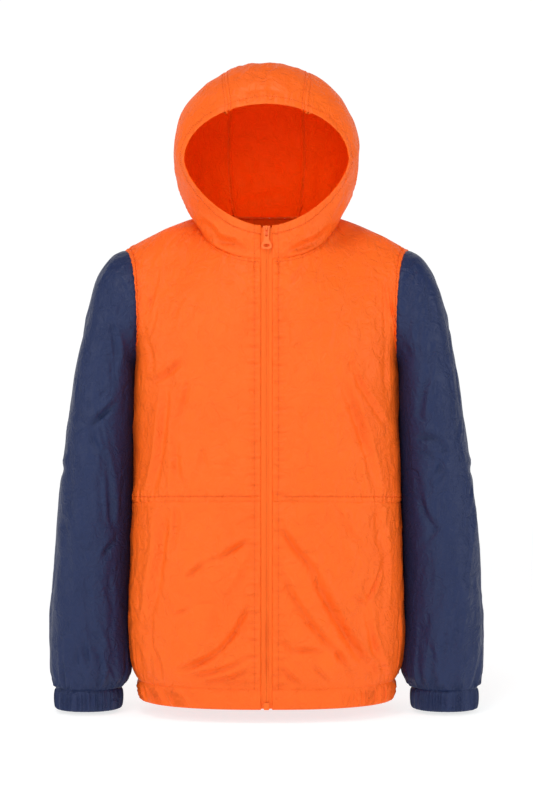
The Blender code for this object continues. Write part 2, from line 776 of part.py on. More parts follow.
def main():
    for node in list(bpy.data.objects):
        bpy.data.objects.remove(node)
    shell = cloth_material("orange shell cloth", orange, 0.42)
    arm = cloth_material("navy shell cloth", navy, 0.42)
    tape = cloth_material("orange zip tape", orange, 0.7)
    body = surface_of([body_quarter(m, s) for m in (1, -1) for s in (-1, 1)])
    for name in ("front_upper_left", "front_upper_right", "front_lower_left",
                 "front_lower_right", "back", "hem_band"):
        cut_piece(name, body, shell)
    hood = surface_of([hood_half(1), hood_half(-1)])
    for name in ("hood_left", "hood_center", "hood_right"):
        cut_piece(name, hood, shell)
    for mirror, word in ((1, "right"), (-1, "left")):
        limb = surface_of([sleeve(mirror)])
        cut_piece("sleeve_" + word, limb, arm)
        cut_piece("cuff_" + word, limb, arm)
        zip_tape("zip_tape_" + word, mirror, tape)
    metal = cloth_material("orange lacquered metal", orange, 0.35, 0.3)
    zip_slider(metal)
    zip_pull(metal)
    zip_box(metal)


main()
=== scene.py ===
import json
import math
import bpy
import mathutils
import numpy as np
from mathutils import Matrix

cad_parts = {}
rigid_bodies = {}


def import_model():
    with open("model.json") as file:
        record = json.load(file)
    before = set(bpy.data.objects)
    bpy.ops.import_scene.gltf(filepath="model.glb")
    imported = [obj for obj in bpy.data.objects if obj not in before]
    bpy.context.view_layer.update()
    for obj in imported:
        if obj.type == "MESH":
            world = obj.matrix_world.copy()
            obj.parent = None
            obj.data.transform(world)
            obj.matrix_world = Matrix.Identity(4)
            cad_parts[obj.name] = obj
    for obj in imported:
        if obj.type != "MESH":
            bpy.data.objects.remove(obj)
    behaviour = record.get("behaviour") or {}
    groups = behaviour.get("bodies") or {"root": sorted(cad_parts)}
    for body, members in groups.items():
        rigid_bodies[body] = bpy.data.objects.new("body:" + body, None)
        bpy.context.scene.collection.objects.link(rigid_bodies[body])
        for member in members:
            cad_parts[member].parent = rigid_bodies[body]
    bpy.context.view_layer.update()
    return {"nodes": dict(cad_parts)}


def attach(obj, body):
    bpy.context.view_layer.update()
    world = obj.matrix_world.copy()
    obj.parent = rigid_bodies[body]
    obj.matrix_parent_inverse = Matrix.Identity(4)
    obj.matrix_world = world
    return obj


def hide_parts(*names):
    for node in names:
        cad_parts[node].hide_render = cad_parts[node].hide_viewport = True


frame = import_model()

# Hooded windbreaker, filled out as worn. Every cloth piece is a closed thin shell on the form
# of its solid, with its creases, gathers and hems as heights on that form.

cut = {
    "zipHalf": 0.0075,
    "neckHalf": 0.096, "neckFront": (-0.102, -0.0674), "neckBack": (0.075, 0.005), "neckSideY": 0.005,
    "tip": (0.2025, 0.010, -0.0476),
    "armpitZ": -0.205, "waistZ": -0.398, "waistDip": 0.007, "bandTopZ": -0.653, "hemZ": -0.681,
    "armholeFront": 0.068, "armholeBack": 0.066, "armholeWaist": 0.006,
    "ringPower": 2.35, "sleevePower": 2.15, "neckShare": 6 / 14,
    "neckFall": 0.93, "shoulderFall": 1.25, "armholeLean": 3,
    # degrees the panels turn over the yoke
    "frontBend": (30, 50, 1.6), "backBend": (62, 18), "edgeBend": 80,
    "cornerSpread": 0.07, "cornerSamples": 9, "sleeveGap": 0.0005,
}
bodyTable = {
    "z": (-0.681, -0.667, -0.653, -0.632, -0.600, -0.540, -0.480, -0.398, -0.320, -0.260, -0.205),
    "halfWidth": (0.1775, 0.1790, 0.1815, 0.1890, 0.1935, 0.1943, 0.1925, 0.1893, 0.1872, 0.1855, 0.1846),
    "front": (0.1140, 0.1150, 0.1165, 0.1235, 0.1280, 0.1290, 0.1285, 0.1265, 0.1250, 0.1240, 0.1230),
    "back": (0.1080, 0.1090, 0.1110, 0.1175, 0.1220, 0.1225, 0.1215, 0.1195, 0.1190, 0.1190, 0.1190),
}
sleeveTable = {
    "outerX": (0.2195, 0.2385, 0.2495, 0.2590, 0.2695, 0.2790, 0.2870, 0.2935, 0.2985, 0.3025, 0.3050,
               0.3060, 0.3045, 0.2975),
    "outerZ": (-0.0585, -0.0850, -0.1200, -0.1600, -0.2150, -0.2700, -0.3300, -0.3900, -0.4500, -0.5100,
               -0.5650, -0.6100, -0.6420, -0.6650),
    "innerGap": (0.0010, 0.0010, 0.0010, 0.0010, 0.0010, 0.0010, 0.0010, 0.0010, 0.0010, 0.0010, 0.0010,
                 0.0015, 0.0085, 0.0200),
    "innerZ": (-0.2200, -0.2400, -0.2620, -0.2880, -0.3200, -0.3600, -0.4020, -0.4460, -0.4920, -0.5400,
               -0.5850, -0.6180, -0.6430, -0.6650),
    "depth": (0.0715, 0.0730, 0.0735, 0.0735, 0.0730, 0.0725, 0.0715, 0.0700, 0.0680, 0.0655, 0.0625,
              0.0590, 0.0540, 0.0455),
    "middleY": (0.006, 0.006, 0.007, 0.008, 0.009, 0.010, 0.010, 0.009, 0.007, 0.004, 0.001,
                -0.002, -0.004, -0.005),
}
cuffCut = {"innerX": 0.2068, "outerX": 0.2972, "depth": 0.0440, "topZ": -0.665, "endZ": -0.695, "y": -0.005,
           "swell": 0.0008}
hoodCut = {
    "middle": (0.0, 0.014, 0.075), "radii": (0.1245, 0.126, 0.1415), "power": 2.25,
    "openingHalf": 0.1127, "openingMiddleZ": 0.0697, "openingTopZ": 0.1437, "openingEndZ": -0.021,
    "openingY": (-0.096, -0.0945, -0.092, -0.097, -0.104), "lowPower": 1.62,
    "frontShare": 0.38, "frontBulge": 0.006, "panelStart": 10 / 12, "panelNarrow": 0.068, "panelPower": 0.4,
    "overY": (-0.86, 1.46), "overZ": (-0.84, 1.80), "overStretch": 0.55,   # way from opening to neck seam
    "openingFade": 1.6, "neckFade": 2.2, "bulgeStart": 8, "neckGap": 0.0003,
}


# Smooth curve through the points of a table: cubic between points, slopes by differences
def curve(at, xs, ys):
    xs = np.asarray(xs, float)
    ys = np.asarray(ys, float)
    if xs[0] > xs[-1]:
        xs = xs[::-1]
        ys = ys[::-1]
    slopes = np.gradient(ys, xs, axis=0)
    at = np.clip(at, xs[0], xs[-1])
    k = np.clip(np.searchsorted(xs, at, side="right") - 1, 0, len(xs) - 2)
    span = xs[k + 1] - xs[k]
    t = (at - xs[k]) / span
    if ys.ndim > 1:
        t = t[:, None]
        span = span[:, None]
    start = (1 + 2 * t) * (1 - t) ** 2 * ys[k] + t * (1 - t) ** 2 * span * slopes[k]
    end = t * t * (3 - 2 * t) * ys[k + 1] + t * t * (t - 1) * span * slopes[k + 1]
    return start + end


def bodySize(name, z):
    return curve(z, bodyTable["z"], bodyTable[name])


# Body ring: x = start + (half - start) sin(a)^(2/n), y = -front cos(a)^(2/n) or back
def ringPoint(s, z, side):
    angle = np.clip(s, 0, 1) * math.pi / 2
    power = 2 / cut["ringPower"]
    start = cut["zipHalf"] if side < 0 else 0.0
    x = start + (bodySize("halfWidth", z) - start) * np.sin(angle) ** power
    y = side * bodySize("front" if side < 0 else "back", z) * np.clip(np.cos(angle), 0, 1) ** power
    rise = np.clip((z - cut["bandTopZ"]) / (cut["waistZ"] - cut["bandTopZ"]), 0, 1)
    fall = np.clip((cut["armpitZ"] - z) / (cut["armpitZ"] - cut["waistZ"]), 0, 1)
    return np.stack(np.broadcast_arrays(x, y, z - cut["waistDip"] * s ** 2 * rise * fall), axis=-1)


# Neck seam, angle share 0 at the centre and 1 at the neck point: a quarter of an oval
def neckPoint(share, side):
    turn = np.clip(share, 0, 1) * math.pi / 2
    start = cut["zipHalf"] if side < 0 else 0.0
    endY, endZ = cut["neckFront"] if side < 0 else cut["neckBack"]
    x = start + (cut["neckHalf"] - start) * np.sin(turn)
    y = cut["neckSideY"] + (endY - cut["neckSideY"]) * np.cos(turn)
    return np.stack([x, y, endZ * np.clip(np.cos(turn), 0, 1) ** cut["neckFall"]], axis=-1)


# Top edge of a body panel: neck seam, then shoulder seam falling as a power of its share
def topPoint(s, side):
    share = cut["neckShare"]
    along = np.clip((s - share) / (1 - share), 0, 1)
    tipX, tipY, tipZ = cut["tip"]
    shoulder = np.stack([
        cut["neckHalf"] + (tipX - cut["neckHalf"]) * along,
        cut["neckSideY"] + (tipY - cut["neckSideY"]) * along,
        tipZ * along ** cut["shoulderFall"]], axis=-1)
    return np.where((s < share)[..., None], neckPoint(s / share, side), shoulder)


# Armhole edge from the armpit (0) to the shoulder tip (1): half an oval in y and z
def armholePoint(v, side):
    turn = math.pi * v
    tipX, tipY, tipZ = cut["tip"]
    reach = cut["armholeFront"] if side < 0 else cut["armholeBack"]
    lean = v ** cut["armholeLean"]
    x = bodySize("halfWidth", cut["armpitZ"]) * (1 - lean) + tipX * lean
    return np.stack([
        x - cut["armholeWaist"] * np.sin(turn),
        tipY * v + side * reach * np.sin(turn),
        (cut["armpitZ"] + tipZ) / 2 - (tipZ - cut["armpitZ"]) / 2 * np.cos(turn)], axis=-1)


# Arc from a foot to a top point that leans back by the angle bend
def yokeArc(foot, top, v, bend):
    up = np.sin(v * bend) / np.sin(bend)
    back = (1 - np.cos(v * bend)) / (1 - np.cos(bend))
    return foot + (top - foot) * np.stack([(v + back) / 2, back, up], axis=-1)


# Body above the armpit: arcs from the chest ring to the top edge, led into the armhole
def yokePoint(s, v, side):
    s, v = np.broadcast_arrays(s, v)
    foot = ringPoint(s, np.full_like(s, cut["armpitZ"]), side)
    spread = np.minimum(np.minimum(s, 1 - s), cut["cornerSpread"]) * (1 - v ** cut["armholeLean"])
    offsets = np.linspace(-1, 1, cut["cornerSamples"])
    top = sum(topPoint(s + k * spread, side) for k in offsets) / len(offsets)
    if side < 0:
        least, more, reach = cut["frontBend"]
        bend = least + more * np.clip(s * reach, 0, 1)
    else:
        least, more = cut["backBend"]
        bend = least + more * s
    ones = np.ones_like(s)
    edgeFoot = ringPoint(ones, ones * cut["armpitZ"], side)
    edge = yokeArc(edgeFoot, topPoint(ones, side), v, np.radians(cut["edgeBend"]) * ones)
    lead = np.clip((s - cut["neckShare"]) / (1 - cut["neckShare"]), 0, 1) ** 2
    return yokeArc(foot, top, v, np.radians(bend)) + lead[..., None] * (armholePoint(v, side) - edge)


# Cosine and sine of a superellipse: signed powers of the round ones
def squared(turn):
    power = 2 / cut["sleevePower"]
    c = np.sign(np.cos(turn)) * np.abs(np.cos(turn)) ** power
    d = np.sign(np.sin(turn)) * np.abs(np.sin(turn)) ** power
    return c, d


# Sleeve rings: superellipses spanned by the outer and inner line and the depth
def sleeveRings(turn):
    c, d = squared(turn)
    front = armholePoint(np.clip(1 - turn / math.pi, 0, 1), -1)
    back = armholePoint(np.clip(turn / math.pi - 1, 0, 1), 1)
    rings = [np.where((turn <= math.pi)[:, None], front, back) + (cut["sleeveGap"], 0, 0)]
    for outerX, outerZ, gap, innerZ, depth, middleY in zip(*sleeveTable.values()):
        innerX = bodySize("halfWidth", innerZ) + gap
        rings.append(np.stack([
            (outerX + innerX) / 2 + (outerX - innerX) / 2 * c, middleY - depth * d,
            (outerZ + innerZ) / 2 + (outerZ - innerZ) / 2 * c], axis=-1))
    rings[-1] = cuffRing(cuffCut["topZ"], turn, cuffCut["swell"])
    return np.stack(rings)


def cuffRing(z, turn, swell):
    c, d = squared(turn)
    half = (cuffCut["outerX"] - cuffCut["innerX"]) / 2
    x = (cuffCut["outerX"] + cuffCut["innerX"]) / 2 + (half + swell) * c
    return np.stack([x, cuffCut["y"] - (cuffCut["depth"] + swell) * d, np.full_like(x, z)], axis=-1)


# Opening of the hood, t 0 at the zip and 1 at the top: half an oval above, a rounded V below
def hoodEdge(t):
    angle = (t - 0.5) * math.pi
    power = 2 / hoodCut["lowPower"]
    sine = np.abs(np.sin(angle))
    cosine = np.clip(np.cos(angle), 0, 1)
    share = np.where(t < 0.5, cosine ** power, cosine)
    low = hoodCut["openingMiddleZ"] - (hoodCut["openingMiddleZ"] - hoodCut["openingEndZ"]) * sine ** power
    high = hoodCut["openingMiddleZ"] + (hoodCut["openingTopZ"] - hoodCut["openingMiddleZ"]) * sine
    start = cut["zipHalf"] * np.clip(1 - 2 * t, 0, 1)
    x = start + (hoodCut["openingHalf"] - start) * share
    y = curve(t, np.linspace(0, 1, 5), hoodCut["openingY"])
    return np.stack([x, y, np.where(t < 0.5, low, high)], axis=-1)


# Length of a vector measured so that the rounded box of the hood has size 1
def hoodSize(vector):
    return (np.abs(vector) ** hoodCut["power"]).sum(axis=-1) ** (1 / hoodCut["power"])


# Hood: ribs from the opening over a rounded balloon to the neck seam
def hoodPoint(t, w):
    t, w = np.broadcast_arrays(t, w)
    middle = np.array(hoodCut["middle"])
    radii = np.array(hoodCut["radii"])
    base = np.where((t < 0.5)[..., None], neckPoint(t / 0.5, -1), neckPoint((1 - t) / 0.5, 1))
    base = base + (0, 0, hoodCut["neckGap"])
    start = (hoodEdge(t) - middle) / radii
    end = (base - middle) / radii
    rise = (1 - np.cos(math.pi * t)) / 2
    overY = hoodCut["overY"][0] + hoodCut["overY"][1] * rise
    overZ = hoodCut["overZ"][0] + hoodCut["overZ"][1] * rise
    over = np.stack([np.sin(math.pi * t), overY, overZ], axis=-1)
    over = over * (1 + hoodCut["overStretch"] * rise)[..., None]
    way = ((1 - w) ** 2)[..., None] * start + (2 * w * (1 - w))[..., None] * over + (w ** 2)[..., None] * end
    reach = 1 + (1 - w) ** hoodCut["openingFade"] * (hoodSize(start) - 1)
    reach += w ** hoodCut["neckFade"] * (hoodSize(end) - 1)
    roundPart = middle + radii * way / hoodSize(way)[..., None] * reach[..., None]
    straight = middle + radii * (start + (end - start) * w[..., None])
    straight[..., 1] -= hoodCut["frontBulge"] * np.sin(math.pi * w) * np.clip(hoodCut["bulgeStart"] * t, 0, 1)
    fade = np.clip(t / hoodCut["frontShare"], 0, 1)
    fade = (fade * fade * (3 - 2 * fade))[..., None]
    return straight + (roundPart - straight) * fade


meshLines = {"edge": (0.0005, 0.0012, 0.0022), "hoodEdge": (0.0004, 0.001, 0.002, 0.003), "beside": 0.0009,
             "closest": 0.00025, "frontWidth": 0.26, "yokeHeight": 0.2, "hoodDepth": 0.30,
             "sleeveLength": 0.62}


# Positions from 0 to 1 with extra lines close to both ends and beside stitched rows
def lines(count, length, rows=(), edge=meshLines["edge"]):
    even = np.linspace(0, 1, count)
    near = [e / length for e in edge] + [1 - e / length for e in edge]
    beside = [(row + k * meshLines["beside"]) / length for row in rows for k in (-2, -1, 0, 1, 2)]
    inside = [p for p in near + beside if 0 < p < 1]
    every = np.unique(np.round(np.concatenate([even, inside]), 6))
    gaps = np.diff(every)
    return every[np.concatenate([[True], gaps > meshLines["closest"] / length])]


# Levels between two heights, with extra ones close to the ends
def levels(low, high, count, nearLow=(), nearHigh=()):
    even = np.linspace(low, high, count)
    return np.unique(np.concatenate([even, low + np.array(nearLow), high - np.array(nearHigh)]))


# Outward unit normals of a grid, closed round in its first direction if asked
def gridNormals(grid, flip, closed=False):
    if closed:
        du = np.roll(grid, -1, axis=0) - np.roll(grid, 1, axis=0)
        du[0] = grid[1] - grid[-2]
        du[-1] = du[0]
    else:
        du = np.gradient(grid, axis=0)
    dv = np.gradient(grid, axis=1)
    normals = np.cross(du, dv) * (-1 if flip else 1)
    return normals / np.maximum(np.linalg.norm(normals, axis=-1), 1e-12)[..., None]


# Distances along the surface from the four edges of a grid
def edgeDistances(grid):
    alongU = np.linalg.norm(np.diff(grid, axis=0), axis=-1)
    alongV = np.linalg.norm(np.diff(grid, axis=1), axis=-1)
    fromU = np.concatenate([np.zeros((1, grid.shape[1])), np.cumsum(alongU, axis=0)])
    fromV = np.concatenate([np.zeros((grid.shape[0], 1)), np.cumsum(alongV, axis=1)], axis=1)
    return fromU, fromU[-1:] - fromU, fromV, fromV[:, -1:] - fromV


def meshObject(name, points, quads, uv=None, inner=None, smooth=True):
    mesh = bpy.data.meshes.new(name)
    mesh.vertices.add(len(points))
    mesh.vertices.foreach_set("co", np.ascontiguousarray(points, np.float32).ravel())
    mesh.loops.add(quads.size)
    mesh.loops.foreach_set("vertex_index", np.ascontiguousarray(quads, np.int32).ravel())
    mesh.polygons.add(len(quads))
    mesh.polygons.foreach_set("loop_start", np.arange(0, quads.size, quads.shape[1], dtype=np.int32))
    mesh.update(calc_edges=True)
    if uv is not None:
        layer = mesh.uv_layers.new(name="cloth")
        layer.data.foreach_set("uv", np.ascontiguousarray(uv[quads.ravel()], np.float32).ravel())
    if inner is not None:
        mesh.polygons.foreach_set("material_index", inner.astype(np.int32))
    if smooth:
        mesh.shade_smooth()
    mesh.validate()
    piece = bpy.data.objects.new(name, mesh)
    bpy.context.scene.collection.objects.link(piece)
    return piece


# One more line past a seam edge, turned in under the neighbour
def tuckIn(outer, normals, thickness, axis, last):
    a, b = (-1, -2) if last else (0, 1)
    edge = outer.take(a, axis=axis)
    way = edge - outer.take(b, axis=axis)
    way /= np.maximum(np.linalg.norm(way, axis=-1), 1e-9)[..., None]
    line = edge + way * cloth["tuckOut"] - normals.take(a, axis=axis) * cloth["tuckIn"]
    lastLines = (line, normals.take(a, axis=axis), thickness.take(a, axis=axis))
    pairs = [(whole, np.expand_dims(one, axis)) for whole, one in zip((outer, normals, thickness), lastLines)]
    return [np.concatenate(pair if last else pair[::-1], axis=axis) for pair in pairs]


# Closed shell: outer = grid + normal * height, inner = outer - normal * thickness.
# tucks says which of the edges (first column, last column, first row, last row) are seams.
def shell(name, grid, height, thickness, flip, closed=False, tucks=(False,) * 4):
    normals = gridNormals(grid, flip, closed)
    outer = grid + normals * height[..., None]
    normals = gridNormals(outer, flip, closed)
    thickness = np.broadcast_to(thickness, height.shape)
    faces[name] = (outer, normals)
    for k, wanted in enumerate(tucks):
        if wanted:
            outer, normals, thickness = tuckIn(outer, normals, thickness, k // 2, k % 2 == 1)
    inner = outer - normals * thickness[..., None]
    n, m = thickness.shape
    fromU, _, fromV, _ = edgeDistances(outer)
    if closed:
        outer, inner, fromU, fromV = outer[:-1], inner[:-1], fromU[:-1], fromV[:-1]
        n -= 1
    index = np.arange(n * m).reshape(n, m)
    nextRow = np.roll(index, -1, axis=0) if closed else index[1:]
    thisRow = index if closed else index[:-1]
    quads = np.stack([thisRow[:, :-1], nextRow[:, :-1], nextRow[:, 1:], thisRow[:, 1:]], axis=-1)
    quads = quads.reshape(-1, 4)
    edges = [(thisRow[:, 0], nextRow[:, 0]), (nextRow[:, -1], thisRow[:, -1])]
    if not closed:
        edges += [(index[0, 1:], index[0, :-1]), (index[-1, :-1], index[-1, 1:])]
    inside = quads[:, ::-1] + n * m
    rims = [np.stack([b, a, a + n * m, b + n * m], axis=-1) for a, b in edges]
    corners = np.concatenate([quads, inside] + rims)
    if flip:
        corners = corners[:, ::-1]
    points = np.concatenate([outer.reshape(-1, 3), inner.reshape(-1, 3)])
    uv = np.stack([fromU, fromV], axis=-1).reshape(-1, 2)
    isInner = np.zeros(len(corners), bool)
    isInner[len(quads):2 * len(quads)] = True
    return meshObject(name, points, corners, np.concatenate([uv, uv]), isInner)


def bump(distance, width):
    return np.exp(-(distance / width) ** 2)


# How free the cloth is at a distance from a seam, 0 on the seam
def settle(distance, reach=0.009):
    return 1 - bump(distance, reach)


# Seams lie on the form; between them the cloth stands a little proud of it
def seamed(*distances):
    return cloth["seamRise"] * np.prod([settle(each, cloth["seamWidth"]) for each in distances], axis=0)


wrinkle = {
    "trim": 0.94, "taper": 0.6, "ridgeAt": 1.6, "ridge": 0.7,    # one crease
    "turn": 0.55, "bow": 0.08, "depthShare": (0.3, 1.2),         # spread of the strewn ones
    "warp": (0.25, 0.6), "warpWaves": (2.3, 3.7, 6.1), "slant": 0.12, "slantWave": 7.3, "wide": 2.1,
    "sharp": 1.3, "puckers": (0.0075, 0.0117, 0.019), "phase": 6.28, "swayWaves": 7, "swayRange": (0.6, 1.5),
    "swayShare": 2.6,
}


# One crease: a trough along a bowed line with a softer ridge beside it
def crease(a, b, row):
    a0, b0, a1, b1, bow, width, depth = row
    runA, runB = a1 - a0, b1 - b0
    length = math.hypot(runA, runB)
    along = ((a - a0) * runA + (b - b0) * runB) / length ** 2
    near = np.clip(along, 0, 1)
    off = ((b - b0) * runA - (a - a0) * runB) / length - bow * 4 * near * (1 - near)
    past = (along - near) * length
    away = np.hypot(off, past)
    trimmed = near * wrinkle["trim"] + (1 - wrinkle["trim"]) / 2
    taper = np.sin(math.pi * trimmed) ** wrinkle["taper"]
    ridge = np.hypot(off - wrinkle["ridgeAt"] * width, past)
    return depth * taper * (wrinkle["ridge"] * np.exp(-ridge / width) - bump(away, width))


def creases(a, b, rows):
    return sum((crease(a, b, row) for row in rows), np.zeros(np.broadcast(a, b).shape))


# The creases of a table in millimetres
def folds(a, b, table):
    return creases(a, b, np.array(table) / 1000)


# Many small creases strewn over a panel, seeded, mostly along one direction
def strewn(a, b, seed, count, span, lean, depth=0.0007, width=(0.003, 0.008), length=(0.02, 0.07)):
    dice = np.random.default_rng(seed)
    rows = []
    for _ in range(count):
        a0 = dice.uniform(0, span[0])
        b0 = dice.uniform(0, span[1])
        turn = lean + dice.normal(0, wrinkle["turn"])
        reach = dice.uniform(*length)
        rows.append((a0, b0, a0 + reach * math.cos(turn), b0 + reach * math.sin(turn),
                     dice.normal(0, wrinkle["bow"]) * reach, dice.uniform(*width),
                     depth * dice.uniform(*wrinkle["depthShare"])))
    return creases(a, b, rows)


# Slow unevenness: a sum of seeded sine waves in three directions
def sway(grid, seed, size, amount):
    dice = np.random.default_rng(seed)
    total = np.zeros(grid.shape[:-1])
    for _ in range(wrinkle["swayWaves"]):
        way = dice.normal(0, 1, 3)
        way *= 2 * math.pi / size * dice.uniform(*wrinkle["swayRange"]) / np.linalg.norm(way)
        total += np.sin(grid @ way + dice.uniform(0, wrinkle["phase"]))
    return total * amount / wrinkle["swayShare"]


# Gathers: ridges of uneven spacing along u, fading with the distance from the elastic
def gathers(u, distance, seed, pitch, depth, reach):
    dice = np.random.default_rng(seed)
    around = u * 2 * math.pi / pitch
    warp = u
    for wave in wrinkle["warpWaves"]:
        share = dice.uniform(*wrinkle["warp"])
        warp = warp + share * pitch * np.sin(around / wave + dice.uniform(0, wrinkle["phase"]))
    slant = np.sin(around / wrinkle["slantWave"] + dice.uniform(0, wrinkle["phase"])) * wrinkle["slant"]
    turn = (warp + distance * slant) * 2 * math.pi / pitch
    blend = np.clip(distance / reach, 0, 1)
    ridge = (1 - blend) * (1 - np.abs(np.sin(turn)) * wrinkle["sharp"])
    ridge = ridge + blend * np.sin(turn / wrinkle["wide"] + 1)
    return depth * ridge * np.exp(-distance / reach)


# Stitched row at a distance from an edge: a groove, with small puckers across it
def stitched(distance, along, at, seed, depth=0.0005, pucker=0.00035, width=0.0012, reach=0.006):
    dice = np.random.default_rng(seed)
    wave = sum(np.sin(along * 2 * math.pi / size + dice.uniform(0, wrinkle["phase"]))
               for size in wrinkle["puckers"]) / 2
    return -depth * bump(distance - at, width) + pucker * wave * bump(distance - at, reach)


cloth = {"thickness": 0.0009, "seamRise": 0.0009, "seamWidth": 0.0016, "tuckOut": 0.0018, "tuckIn": 0.0016}
slots = {"body": "orange_shell", "arm": "navy_shell", "tape": "zip_tape"}
made = {}
faces = {}


def keep(piece, nodes):
    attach(piece, "jacket")
    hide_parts(*nodes)
    made[piece.name] = piece
    return piece


frontRight = {
    "folds": (   # from x, z to x, z, bow, half width, depth, all in millimetres
        (95.5, -221.5, 148, -378, 6, 6.5, 6), (148, -378, 154, -460, 2, 6, 3),
        (110.5, -199, 168, -300, -4, 4.2, 3.6), (161, -90, 163.5, -174, 2, 3.6, 2.4),
        (154, -80, 150, -130, 3, 3, 1.2), (166, -170, 168, -260, -3, 3.8, 1.8),
        (56, -69, 21.5, -106, 3, 3.8, 1.8), (44, -85, 19, -118, 2, 2.8, 1.2),
        (36, -115, 18, -139, 1, 2.8, 1.2), (30, -145, 18, -165, 1, 2.6, 1),
        (26, -267, 45, -254, 2, 2, 1), (43, -255, 86, -260, 2, 2, 1),
        (35, -276, 57, -293, -2, 2.2, 0.9), (16.4, -339, 53.4, -359.6, 2, 2.4, 1.4),
        (25, -322, 60, -335, 2, 2.2, 0.9), (125, -330, 132, -390, -3, 5.5, 2),
        (110, -130, 135, -195, 5, 11, 1), (13, -419, 62, -486, -4, 4.8, 6),
        (56, -478, 145, -632, -6, 7, 8.5), (15, -484, 108, -618, -8, 4.8, 5.5),
        (33, -600, 78, -601, 2, 4.2, 4.5), (16, -580, 34, -606, 2, 3.6, 3.6),
        (18, -618, 48, -648, -2, 4, 4.6), (60, -620, 85, -646, 2, 3.4, 3),
        (95, -400, 136, -465, -5, 4, 2.8), (159, -490, 135.6, -539, 1, 2.4, 3.6),
        (118, -528, 135.6, -539, 0, 2.4, 3), (135.6, -539, 164, -640, -4, 4.2, 4),
        (90, -590, 112, -644, 3, 4.5, 3), (28, -534, 54, -564, 2, 2.8, 1.8),
        (40, -560, 66, -568, 2, 2.4, 1.4), (140, -580, 146, -644, 3, 4.5, 2.6),
        (156, -410, 160, -560, 4, 5.5, 1.8),
    ),
    "seed": 11,
}
frontLeft = {
    "folds": (
        (-156.6, -235.1, -115.5, -205.6, -3, 4.2, 4.4), (-124.7, -298, -106.4, -230.5, -3, 4, 3.6),
        (-160, -390, -138.4, -239.6, -6, 5.6, 5), (-127, -392, -124.7, -294, -3, 5.2, 3.2),
        (-106.4, -390, -124, -340, 2, 4.5, 2.2), (-101.8, -380, -83.6, -321.2, -2, 4, 1.6),
        (-72.2, -289.5, -31.1, -362, 2, 2.2, 1.2), (-82, -350, -31, -356, 5, 2.2, 1.2),
        (-70, -364, -30, -368, 3, 2, 1), (-166, -96, -159, -133, 2, 2.6, 1.4),
        (-156, -100, -164, -145, 2, 2.6, 1.2), (-150, -130, -162, -180, 2, 2.8, 1.2),
        (-164, -175, -156, -220, 3, 3.4, 1.6), (-38, -80.5, -20, -144.4, 2, 5, 1.6),
        (-56, -70, -30, -98, -2, 3, 1.2), (-134.3, -130.8, -120.6, -189.3, 3, 12, 1.1),
        (-30, -135, -19, -160, 1, 2.4, 1), (-160, -560, -141, -401, -4, 7.5, 6),
        (-130, -470, -124, -402, -3, 4.5, 3.2), (-108, -502, -82, -480, 1, 3.6, 4),
        (-80, -480, -62, -472, 1, 2.8, 2.6), (-64, -476, -24, -450, 2, 4.2, 5),
        (-52, -526, -20, -470, -3, 5, 3), (-62, -598, -26, -542, -3, 4.4, 6.2),
        (-118, -628, -58, -596, -3, 5.2, 5.8), (-111, -638, -22, -607, -4, 4, 4),
        (-90.4, -648, -22, -624, -2, 3.8, 4.2), (-64, -650, -22, -640, 1, 3.4, 3.6),
        (-100, -538, -64, -536, 2, 2.4, 1.6), (-130, -556, -96, -542, 2, 2.4, 1.8),
        (-38, -576, -20, -560, 1, 3, 2.8), (-156, -600, -144, -646, 3, 4, 3),
        (-40, -430, -20, -420, 1, 2.6, 1.6),
    ),
    "seed": 12,
}
backPanel = {
    "folds": (
        (-110, -75, -40, -145, 10, 9, 1.8), (105, -80, 35, -155, -9, 9, 1.8),
        (-160, -110, -120, -230, 8, 8, 2.4), (158, -105, 122, -240, -7, 8, 2.2),
        (-150, -240, -135, -420, -7, 8.5, 2.4), (148, -250, 128, -430, 8, 8.5, 2.6),
        (-75, -260, -20, -400, 10, 10, 1.8), (70, -300, 30, -470, -10, 9.5, 2),
        (-120, -440, -70, -600, 9, 8.5, 2.6), (125, -450, 80, -620, -8, 8.5, 2.6),
        (-30, -450, -10, -610, 6, 9, 1.8), (-160, -480, -150, -620, -4, 7, 2.4),
        (160, -490, 152, -625, 4, 7, 2.4), (35, -520, 50, -640, -5, 8, 2.2),
    ),
    "seed": 13, "columns": 78, "bodyRows": 120, "yokeRows": 56,
}
frontSpec = {
    "columns": 136, "bodyRows": 90, "yokeRows": 70, "lowerRows": 104, "foldShare": 1.1,
    "zipStitch": 0.0092, "waistStitch": 0.0075, "armholeStitch": 0.0065, "neckStitch": 0.005,
    "waistLines": (0.0005, 0.0012, 0.0022, 0.0055, 0.0065, 0.0075, 0.0085, 0.0095),
    "edgeThickness": 0.0022, "foldBack": 0.008, "calmAtZip": 0.85, "calmWidth": 0.03,
}
# Stitched rows: depth of the groove, height of the puckers, width of the groove, reach of the puckers
rowForm = {
    "zip": (0.0013, 0.0013, 0.0012, 0.012), "waist": (0.0011, 0.0009, 0.0011, 0.009),
    "armhole": (0.0011, 0.0011, 0.0012, 0.009), "neck": (0.0005, 0.0010, 0.0012, 0.010),
    "calm": (0.0005, 0.0004, 0.0012, 0.006), "plain": (0.0005, 0.00035, 0.0012, 0.006),
    "hoodRim": (0.0009, 0.0008, 0.0012, 0.009), "hoodSeam": (0.0005, 0.0003, 0.0012, 0.006),
}
# Gathers over the elastic: pitch, depth, reach
gatherForm = {"waist": (0.011, 0.0012, 0.012), "hem": (0.014, 0.0042, 0.028),
              "underWaist": (0.011, 0.0012, 0.014),
              "backHem": (0.013, 0.0026, 0.030)}
